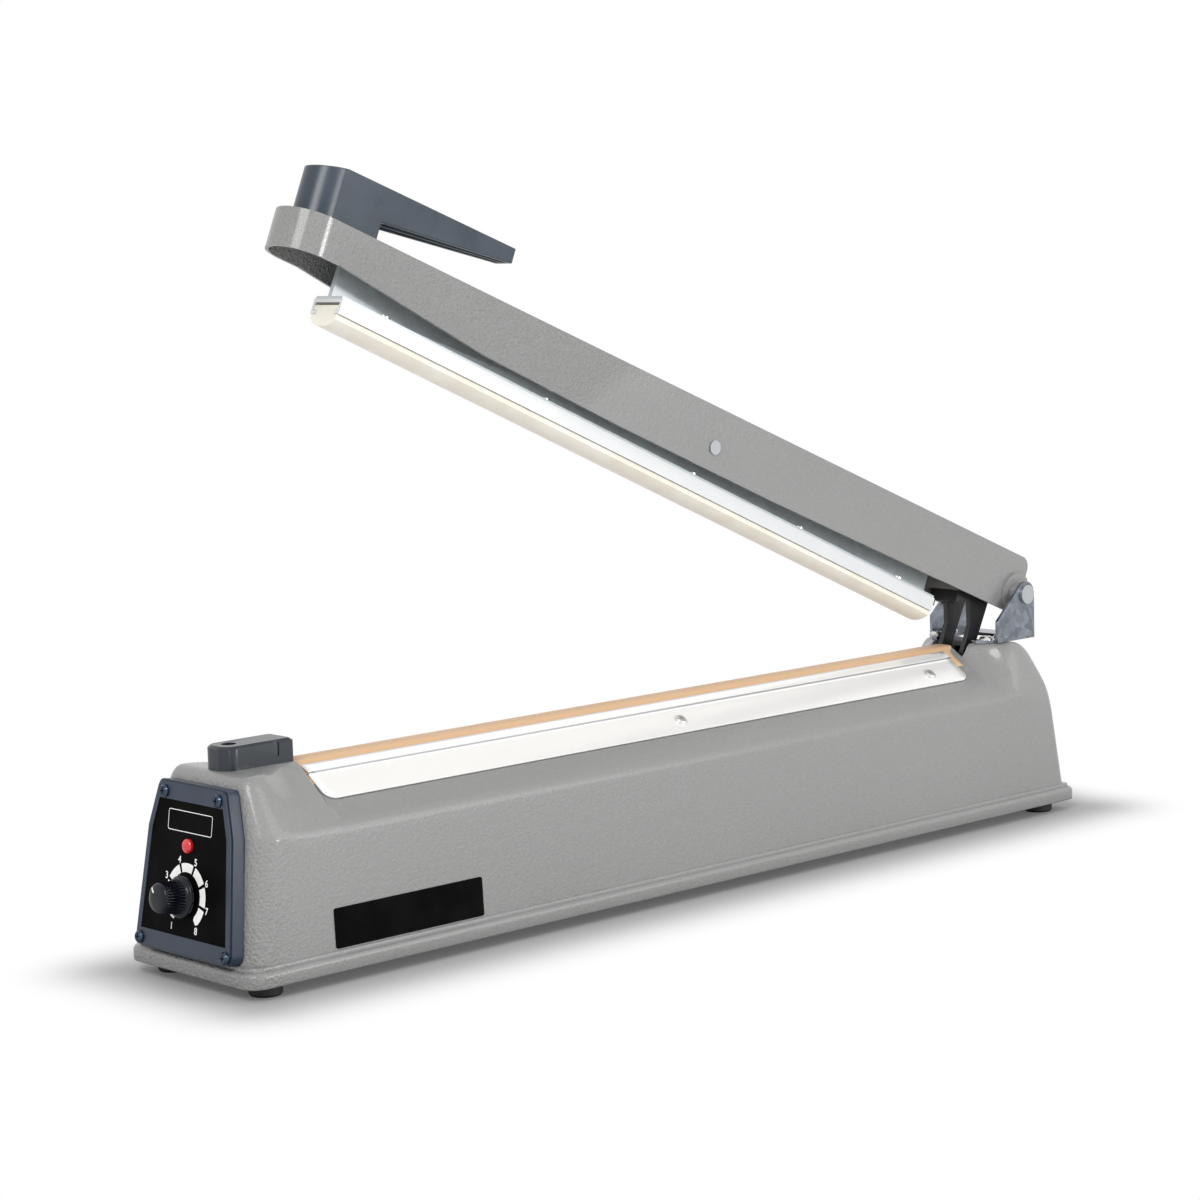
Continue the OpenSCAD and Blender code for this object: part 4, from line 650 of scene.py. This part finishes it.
PANEL_MIDDLE = (0, 0, 40.0)
front_ring = closed_outline(skin[0])
front_cap = drawn_in(front_ring, np.full((len(front_ring), 3), PANEL_MIDDLE))
front_cap[:, :, 0] = STEP + (front_cap[:, :, 2] - FLANGE_Z) * math.tan(FRONT_LEAN)

INLET_Y, INLET_UP, SLEEVE_R = -18.0, 14.0, 5.85
rear_ring = closed_outline(skin[-1])
inlet_z = FLANGE_Z + INLET_UP * math.cos(REAR_LEAN)
bearing = np.arctan2(rear_ring[:, 2] - inlet_z, rear_ring[:, 1] - INLET_Y)
circle = np.stack([np.zeros_like(bearing), INLET_Y + SLEEVE_R * np.cos(bearing),
                   inlet_z + SLEEVE_R * np.sin(bearing) * math.cos(REAR_LEAN)], axis=-1)
rear_cap = drawn_in(rear_ring, circle)
rear_cap[:, :, 0] = LENGTH - STEP - (rear_cap[:, :, 2] - FLANGE_Z) * math.tan(REAR_LEAN)


def round_corner(cx, cz, r, start, stop, count):
    """Quarter of a circle in the flange's profile, angles in degrees."""
    angle = np.radians(np.linspace(start, stop, count))
    return np.stack([cx + r * np.cos(angle), cz + r * np.sin(angle)], axis=-1)


LOW_R, RIM_R, BEAD_OUT, BEAD_R, BEAD_H = 0.9, 2.2, 1.1, 0.9, 1.6
CORNER_ROWS, LEAST_R = 12, 0.05
# (distance out of the wall, height), from inside the foot over the flange to the wall's bead
flange_profile = np.concatenate([
    [[-2.5, 16.0], [-2.5, BASE_Z]],
    round_corner(STEP - LOW_R, BASE_Z + LOW_R, LOW_R, -90, 0, 5),
    round_corner(STEP - RIM_R, FLANGE_Z - RIM_R, RIM_R, 0, 90, 8),
    [[BEAD_OUT + 0.05, FLANGE_Z]],
    round_corner(BEAD_OUT - BEAD_R, FLANGE_Z + 0.7, BEAD_R, 0, 90, 6),
    [[-0.15, FLANGE_Z + BEAD_H], [-3.0, FLANGE_Z + BEAD_H]]])


def carried_round(profile, x0, x1, half, radii):
    """The profile carried round a rounded rectangle; radii for the corners far rear, far front,
    near front, near rear. A profile point outside the walls widens the corner, one inside
    tightens it."""
    rings = []
    out, height = profile[None, :, :1], profile[None, :, 1:]
    places = ((x1, half, 0), (x0, half, 90), (x0, -half, 180), (x1, -half, 270))
    for (cx, cy, start), r in zip(places, radii):
        angle = np.radians(np.linspace(start, start + 90, CORNER_ROWS))
        normal = np.stack([np.cos(angle), np.sin(angle)], axis=-1)
        square, outwards = np.array([cx, cy]), np.sign([cx - LENGTH / 2, cy])
        flat = square - r * outwards + normal[:, None] * np.maximum(r + out, LEAST_R)
        # inside its own centre a corner keeps to the square one
        flat = np.where(r + out > LEAST_R, flat, square + out * outwards)
        rings.append(np.concatenate([flat, np.repeat(height, CORNER_ROWS, axis=0)], axis=-1))
    return np.concatenate(rings).transpose(1, 0, 2)


flange = carried_round(flange_profile, STEP, LENGTH - STEP, WALL_Y, (1.6, 4.6, 4.6, 1.6))

patches = [(skin, False, keep), (front_cap, True, None), (rear_cap, True, None),
           (flange, True, None)]
patches += [(wall, False, None) for wall in slot_walls]
casing_skin = patchwork("casing_skin", patches, "base", grey_enamel, 50)
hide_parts("casing")

# %% [markdown]
# ## Arm, handle and the black mouldings
# These are plain forms whose only lack is the small radius that every pressed or moulded edge
# has, and it is that radius that catches the light. A merged copy of the solid takes a bevel.

# %% Pieces with eased edges
def near_arm_top(p):
    """True on the arm's upper face."""
    turn = math.radians(ARM_DEG)
    height = (p[0] - PIN[0]) * math.sin(turn) + (p[2] - PIN[2]) * math.cos(turn)
    return abs(height - ARM_TOP) < 0.05 and abs(p[1]) > ARM_HALF - 9


eased_copy("arm", "arm", grey_enamel, 0.35, 3, near_arm_top, 1.6)
eased_copy("handle", "arm", handle_moulding, 0.7, 3)
eased_copy("terminal_block", "base", block_moulding, 0.5, 3)
eased_copy("bezel", "base", black_moulding, 0.35, 3)
eased_copy("hinge_bracket", "base", bracket_zinc, 0.4, 3)
eased_copy("bar_channel", "press_bar", zinc_steel, 0.3, 2)
eased_copy("rubber_holder", "press_bar", white_aluminium, 0.25, 2)
eased_copy("spring_fork", "arm", fork_enamel, 0.4, 3)
eased_copy("sealing_rubber", "press_bar", silicone, 0.3, 2)

# %% [markdown]
# ## The knob
# A moulded knob is a surface of revolution whose radius ripples with the angle. One formula gives
# the whole of it: the profile's radius, less a flute's depth where the profile is on the grip.

# %% Fluted knob
BEZEL_T, KNOB_UP, KNOB_FOOT, SKIRT_R, FLUTES = 6.2, 24.3, 7.4, 8.4, 32
profile = np.array([[0.01, 0.0], [SKIRT_R - 1.2, 0.0], [SKIRT_R - 0.25, 0.12], [SKIRT_R, 0.4],
                    [SKIRT_R - 0.1, 1.5], [SKIRT_R - 0.4, 1.8], [7.5, 1.95], [7.0, 2.3],
                    [6.75, 3.0], [6.7, 3.4], [6.45, 6.5], [6.1, 9.5], [5.9, 10.8], [5.75, 11.4],
                    [5.4, 11.85], [4.8, 12.1], [3.6, 12.3], [2.0, 12.4], [0.01, 12.42]])
FLUTE_DEPTH, POINTER_DEG = 0.42, 135
grip = smooth_step(profile[:, 1], 2.9, 3.5) * (1 - smooth_step(profile[:, 1], 10.0, 11.2))
theta = np.linspace(0, 2 * np.pi, 288, endpoint=False)
ripple = 0.5 + 0.5 * np.cos(theta * FLUTES)
radius = profile[:, :1] - FLUTE_DEPTH * grip[:, None] * ripple[None] ** 2
knob_grid = on_panel(radius * np.cos(theta), KNOB_UP + radius * np.sin(theta),
                     KNOB_FOOT + profile[:, 1:] + 0 * theta)
knob = patchwork("knob_grip", [(knob_grid, True, None)], "knob", knob_plastic, 60)
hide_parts("dial_knob")

# the pointer: a white tick that follows the cap's dome out to its rim
print_white = moulding("print_white", (0.88, 0.88, 0.86), 0.00001, 0.4)
tick_r = np.linspace(2.6, 5.35, 8)
tick_out = KNOB_FOOT + 0.05 + np.interp(tick_r, profile[:11:-1, 0], profile[:11:-1, 1])
tick_turn, tick_half = math.radians(POINTER_DEG), np.array([[-0.4], [0.4]])
tick = on_panel(tick_r * math.cos(tick_turn) - tick_half * math.sin(tick_turn),
                KNOB_UP + tick_r * math.sin(tick_turn) + tick_half * math.cos(tick_turn),
                tick_out + 0 * tick_half)
patchwork("knob_pointer", [(tick, False, None)], "knob", print_white, outward=False)

# %% [markdown]
# ## Print on the dial
# The scale is screen print: figures round the knob, and a white band in segments that swells from
# nothing at 1 to its full width at 8. Each segment is a small polar grid, and the figures are
# text turned to mesh.

# %% Scale and figures
RECESS, FILM_T, PRINT_GAP = 0.8, 0.5, 0.04
label_face = BEZEL_T - RECESS + FILM_T + PRINT_GAP
FIRST, SWEEP, SEGMENT_GAP = -147.0, 294.0, 3.2
BAND_R, FIGURE_R, FIGURE_SIZE = 11.4, 14.9, 3.9


def polar(radius, clock):
    """Across and up for a radius and an angle in degrees, clockwise from the top."""
    angle = np.radians(clock)
    return radius * np.sin(angle), KNOB_UP + radius * np.cos(angle)


segments = []
for number in range(7):
    clock = np.linspace(FIRST + SWEEP * number / 7 + SEGMENT_GAP,
                        FIRST + SWEEP * (number + 1) / 7 - SEGMENT_GAP, 12)
    swell = np.minimum((clock - FIRST) / SWEEP / 0.08, 1.0) ** 0.8
    width = 0.3 + 3.5 * swell * (0.85 + 0.15 * (clock - FIRST) / SWEEP)
    if number == 6:
        width = width * np.sqrt(np.clip((clock[-1] + 3 - clock) / 9, 0, 1))
    across, up = polar(BAND_R + np.stack([-width / 2, width / 2]), clock[None])
    segments.append((on_panel(across, up, label_face), False, None))
patchwork("scale_band", segments, "base", print_white, outward=False)


def figure(text, across, up, size):
    """A figure of the scale as a flat mesh on the label."""
    words = bpy.data.curves.new("figure", "FONT")
    words.body, words.size, words.align_x, words.align_y = text, size, "CENTER", "CENTER"
    words.offset = size * 0.018
    holder = bpy.data.objects.new("figure", words)
    bpy.context.scene.collection.objects.link(holder)
    graph = bpy.context.evaluated_depsgraph_get()
    flat = bpy.data.meshes.new_from_object(holder.evaluated_get(graph))
    bpy.data.objects.remove(holder)
    spots = np.empty(len(flat.vertices) * 3)
    flat.vertices.foreach_get("co", spots)
    spots = spots.reshape(-1, 3)
    on_label = metres(on_panel(spots[:, 0] + across, spots[:, 1] + up, label_face))
    flat.vertices.foreach_set("co", on_label.ravel())
    new_piece("figure_" + text, flat, "base", print_white)


for number in range(8):
    across, up = polar(FIGURE_R, FIRST + SWEEP * number / 7)
    figure(str(number + 1), float(across), float(up), FIGURE_SIZE)

# a plain frame, empty, over the lamp
FRAME_HALF, FRAME_LOW, FRAME_HIGH, LINE = 14.6, 49.2, 57.5, 0.28
corner = np.linspace(0, np.pi / 2, 6)
frame_x, frame_y = [], []
for quarter, (side, level) in enumerate(((1, FRAME_HIGH), (-1, FRAME_HIGH),
                                         (-1, FRAME_LOW), (1, FRAME_LOW))):
    angle = corner + quarter * np.pi / 2
    rise = -1 if level == FRAME_HIGH else 1
    frame_x.append(side * (FRAME_HALF - 1.0) + np.outer([1.0, 1.0 - LINE], np.cos(angle)))
    frame_y.append(level + rise + np.outer([1.0, 1.0 - LINE], np.sin(angle)))
frame_line = on_panel(np.concatenate(frame_x, axis=1), np.concatenate(frame_y, axis=1), label_face)
patchwork("label_frame", [(frame_line, True, None)], "base", print_white, outward=False)
print("scale printed")

# %% [markdown]
# ## The return spring
# A tube carried along a helix, with a hook at each end. The axis runs from the anchor to the
# fork's pin, and the ring at each step stands square to the wire.

# %% Spring wire
ANCHOR, CROSS = np.array([402.0, 0, 71.7]), np.array([452.89, 0, 64.41])
COIL_R, WIRE_R, TURNS, HOOK_RUN, PIN_GAP = 3.9, 0.6, 16, 6.5, 0.3
ANCHOR_R, CROSS_R = 2.0, 2.5


def tube(line):
    """Eight-sided rings of the wire round a line of points, each square to the line there."""
    ahead = np.gradient(line, axis=0)
    ahead /= np.linalg.norm(ahead, axis=1, keepdims=True)
    side = np.cross(ahead, [0, 1, 0])
    weak = np.linalg.norm(side, axis=1) < 0.2
    side[weak] = np.cross(ahead[weak], [0, 0, 1])
    side /= np.linalg.norm(side, axis=1, keepdims=True)
    other = np.cross(ahead, side)
    angle = np.linspace(0, 2 * np.pi, 8, endpoint=False)
    return (line[:, None] + WIRE_R * (np.cos(angle)[None, :, None] * side[:, None]
                                      + np.sin(angle)[None, :, None] * other[:, None]))


axis_vec = CROSS - ANCHOR
axis_len = np.linalg.norm(axis_vec)
axis_dir = axis_vec / axis_len
axis_up = np.cross(axis_dir, [0, 1, 0]) * -1
turn_part = np.linspace(0, 1, TURNS * 22)
along = HOOK_RUN + (axis_len - 2 * HOOK_RUN) * turn_part
spin = 2 * np.pi * TURNS * turn_part
helix = (ANCHOR + along[:, None] * axis_dir + COIL_R * np.cos(spin)[:, None] * axis_up
         - COIL_R * np.sin(spin)[:, None] * np.array([0, 1, 0]))


def hook(start, direction, pin_r):
    """Half-round bend round a pin and the straight run to the coil."""
    bend = np.radians(np.linspace(-90, 90, 14))[:, None]
    reach = COIL_R - WIRE_R - pin_r - PIN_GAP
    centre = start + direction * reach
    arc = centre - direction * COIL_R * np.cos(bend) + axis_up * COIL_R * np.sin(bend)
    steps = np.linspace(WIRE_R, HOOK_RUN - reach, 6)[:, None]
    return np.concatenate([arc, centre + direction * steps + axis_up * COIL_R])


wires = (helix, hook(ANCHOR, axis_dir, ANCHOR_R), hook(CROSS, -axis_dir, CROSS_R))
spring = patchwork("spring_wire", [(tube(wire), True, None) for wire in wires], "base",
                   spring_steel, 60)
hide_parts("return_spring")

# %% [markdown]
# ## The non-stick cloth
# The cover is a strip of coated cloth drawn tight over the heating element and held down by the
# two trims. Between them it lies on both flanks, springs over the element's edges and puckers a
# little.

# %% Cloth over the ridge
CLOTH_T, CLOTH_LIFT, CLOTH_SHORT, FLANK_SHORT, PUCKER = 0.2, 0.16, 0.4, 4.2, 0.006


def down_flank(d, h):
    """(y, z) at a distance down the far flank and a height out of it."""
    return (RIDGE_Y + d * math.cos(FLANK_TURN) + h * math.sin(FLANK_TURN),
            RIDGE_Z - d * math.sin(FLANK_TURN) + h * math.cos(FLANK_TURN))


half_line = np.array([down_flank(d, CLOTH_LIFT) for d in (12.9, 10, 7, 4, 2, 1, 0.2)]
                     + [(5.0, 82.95), (4.4, 83.32), (3.2, 83.50), (1.6, 83.53), (0.0, 83.54)])
cloth_line = np.concatenate([half_line, half_line[-2::-1] * [-1, 1]])
cloth_x = np.linspace(SEAL_X0, SEAL_END - CLOTH_SHORT, 260)
rng = np.random.default_rng(7)
pucker = np.zeros((len(cloth_x), len(cloth_line)))
for _ in range(14):
    phase, wave, tilt = rng.uniform(0, 6.3), rng.uniform(0.05, 0.5), rng.uniform(-0.4, 0.4)
    pucker += np.sin(cloth_x[:, None] * wave + cloth_line[None, :, 0] * tilt + phase)
pucker *= PUCKER
# on the flanks the cloth ends a little earlier than on the ridge
cloth_end = SEAL_END - CLOTH_SHORT - FLANK_SHORT * smooth_step(np.abs(cloth_line[:, 0]), 5.0, 8.0)
cloth_part = (cloth_x - SEAL_X0) / (cloth_x[-1] - SEAL_X0)
cloth_grid = np.stack([SEAL_X0 + (cloth_end[None] - SEAL_X0) * cloth_part[:, None],
                       np.repeat(cloth_line[None, :, 0], len(cloth_x), 0),
                       cloth_line[None, :, 1] + pucker], axis=-1)
seal_cloth = patchwork("seal_cloth", [(cloth_grid, False, None)], "base", tan_cloth,
                       80)
wall = seal_cloth.modifiers.new("thickness", "SOLIDIFY")
wall.thickness, wall.offset = CLOTH_T * MM, 0.0
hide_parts("seal_cover")

# %% [markdown]
# ## The trims
# Each trim is a polished strip that clamps the cloth. A fold along it lifts the upper third like
# a lip, and both low corners are round. Across the strip a few points give its height out of the
# flank.

# %% Folded strips with round corners
TRIM_X0, TRIM_X1, TRIM_D, TRIM_R, TRIM_T, TRIM_UP = 53.5, 442.0, 22.6, 5.0, 0.8, 1.1
lip = np.array([[2.1, 1.12], [3.5, 1.36], [5.2, 1.66], [6.9, 1.96], [7.2, 1.98], [7.4, 1.9],
                [7.9, 1.34], [8.15, 1.2], [9.0, 1.14], [12.0, TRIM_UP], [TRIM_D - TRIM_R, TRIM_UP]])


def trim_strip(name, side):
    """Points x along and d down the flank, at the lip's height. Where d has gone past the start
    of a corner, by r times a sine, both ends draw in by r less r times the cosine."""
    bend = np.linspace(0, np.pi / 2, 9)[1:]
    d = np.concatenate([lip[:, 0], TRIM_D - TRIM_R + TRIM_R * np.sin(bend)])
    h = np.concatenate([lip[:, 1], np.full(len(bend), TRIM_UP)])
    inset = np.concatenate([np.zeros(len(lip)), TRIM_R * (1 - np.cos(bend))])
    part = np.linspace(0, 1, 90)[:, None]
    y, z = down_flank(d, h)
    strip_x = TRIM_X0 + inset + (TRIM_X1 - TRIM_X0 - 2 * inset) * part
    strip = np.stack([strip_x, side * y + 0 * strip_x, z + 0 * strip_x], axis=-1)
    piece = patchwork(name + "_sheet", [(strip[::-side], False, None)], "base", polished_trim,
                      30, outward=False)
    wall = piece.modifiers.new("thickness", "SOLIDIFY")
    wall.thickness, wall.offset = TRIM_T * MM, -1.0
    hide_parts(name)


trim_strip("near_trim", -1)
trim_strip("far_trim", 1)

# %% [markdown]
# ## Finishes for the solids that stay
# Small hardware and the inner parts are right as they are. Each one gets the finish of its kind.

# %% Finishes by solid
kept = {
    "bottom_plate": plate_steel, "rubber_feet": foot_rubber, "foot_screws": screw_steel,
    "bezel_screws": blue_zinc, "dial_label": label_film, "side_label": label_film,
    "indicator_lamp": lamp_lens, "potentiometer": brass, "knob_shaft": screw_steel,
    "timer_board": board_green, "board_parts": board_blue, "board_standoffs": nylon,
    "block_screw": screw_steel, "insulating_strip": laminate, "heating_element": element_alloy,
    "element_terminals": brass, "trim_screws": screw_steel, "bracket_screws": screw_steel,
    "hinge_pin": pin_steel, "transformer_core": core_iron, "transformer_coil": coil_tape,
    "transformer_strap": zinc_steel, "strap_screws": screw_steel, "switch_body": switch_plastic,
    "switch_plunger": nylon, "switch_bracket": zinc_steel, "switch_screws": screw_steel,
    "cord_inlet": switch_plastic, "anchor_pin": screw_steel, "handle_screws": screw_steel,
    "fork_bracket": grey_enamel, "fork_pin": pin_steel, "rocker_pin": pin_steel,
    "bar_rivets": screw_steel}
for node, finish in kept.items():
    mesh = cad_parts[node].data
    mesh.materials.clear()
    mesh.materials.append(finish.material)
replaced = {"casing", "arm", "handle", "terminal_block", "bezel", "hinge_bracket", "near_trim",
            "far_trim", "bar_channel", "rubber_holder", "spring_fork", "sealing_rubber",
            "dial_knob", "return_spring", "seal_cover"}
print("solids without a finish:", sorted(set(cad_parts) - set(kept) - replaced))

# %% [markdown]
# ## Table, light and backdrop
# The photograph is a catalogue shot: white all round and one soft shadow under the machine. A
# painted shadow darkens the floor's colour towards the casing's foot, the floor fades into the
# white world, and three lamps add shape to an even light: the small one at the side draws the
# glints on the rounded corners.

# %% Floor, world and lamps
FLOOR, SHADOW_SHIFT, SHADOW_REACH, WHITE_REACH = 6.0, 0.012, 0.07, 0.055
WORLD_LIGHT, WORLD_SEEN = 0.62, 1.0
floor_mesh = bpy.data.meshes.new("table")
floor_mesh.from_pydata([(-FLOOR, -FLOOR, 0), (FLOOR, -FLOOR, 0), (FLOOR, FLOOR, 0),
                        (-FLOOR, FLOOR, 0)], [], [(0, 1, 2, 3)])
floor = bpy.data.objects.new("table", floor_mesh)
bpy.context.scene.collection.objects.link(floor)
table_top = Finish("table_top", Roughness=0.7, Specular_IOR_Level=0.2)
foot_x = (table_top.axis("X") - SHADOW_SHIFT).maths("ABSOLUTE") - LENGTH / 2 * MM
foot_x = foot_x.maths("MAXIMUM", 0.0)
foot_y = (table_top.axis("Y").maths("ABSOLUTE") - HALF_W * MM).maths("MAXIMUM", 0.0)
away = (foot_x * foot_x + foot_y * foot_y).power(0.5)
# painted shadow: the floor's base colour is dark at the casing's foot and pale beyond SHADOW_REACH
table_top.feed("Base Color", table_top.blend(away.ease(0.0, SHADOW_REACH), (0.42, 0.42, 0.42),
                                             (0.95, 0.95, 0.95)))
camera_ray = table_top.node("ShaderNodeLightPath", out="Is Camera Ray")
white = table_top.node("ShaderNodeEmission", {}, {"Color": (1, 1, 1), "Strength": 1.0})
part = camera_ray * (away.ease(0.0, WHITE_REACH) * 0.93 + 0.07)
plain = Field(table_top, table_top.shader.outputs[0])
mixed = table_top.node("ShaderNodeMixShader", {}, {0: part, 1: plain, 2: white})
table_top.join(table_top.tree.nodes["Material Output"].inputs["Surface"], mixed)
floor_mesh.materials.append(table_top.material)

world = bpy.data.worlds.new("studio")
bpy.context.scene.world = world
world.use_nodes = True
tree = world.node_tree
background = tree.nodes["Background"]
background.inputs["Color"].default_value = (1, 1, 1, 1)
# the backdrop is white for whatever looks at it, and weaker as a light
rays = tree.nodes.new("ShaderNodeLightPath")
seen = rays.outputs["Is Camera Ray"]
for kind in ("Is Transmission Ray", "Is Glossy Ray"):
    either = tree.nodes.new("ShaderNodeMath")
    either.operation = "MAXIMUM"
    tree.links.new(seen, either.inputs[0])
    tree.links.new(rays.outputs[kind], either.inputs[1])
    seen = either.outputs[0]
level = tree.nodes.new("ShaderNodeMapRange")
level.inputs["To Min"].default_value = WORLD_LIGHT
level.inputs["To Max"].default_value = WORLD_SEEN
tree.links.new(seen, level.inputs["Value"])
tree.links.new(level.outputs[0], background.inputs["Strength"])


def lamp(name, place, target, size, power):
    """A square soft lamp that looks from a place at a target."""
    data = bpy.data.lights.new(name, "AREA")
    data.shape, data.size, data.energy = "SQUARE", size, power
    lit = bpy.data.objects.new(name, data)
    back = np.array(place, float) - np.array(target, float)
    back /= np.linalg.norm(back)
    side = np.cross([0, 0, 1], back)
    side /= np.linalg.norm(side)
    lit.matrix_world = Matrix.Translation(place) @ Matrix(
        (tuple(side), tuple(np.cross(back, side)), tuple(back))).transposed().to_4x4()
    bpy.context.scene.collection.objects.link(lit)


lamp("key", (-1.5, -0.9, 1.5), (0, 0, 0.1), 0.9, 22)
lamp("fill", (0.9, -1.6, 1.0), (0, 0, 0.1), 1.2, 6)
lamp("edge", (0.50, -1.45, 0.35), (-0.2, 0, 0.1), 0.25, 5)
bpy.context.scene.view_settings.view_transform = "Standard"
print("lights set")
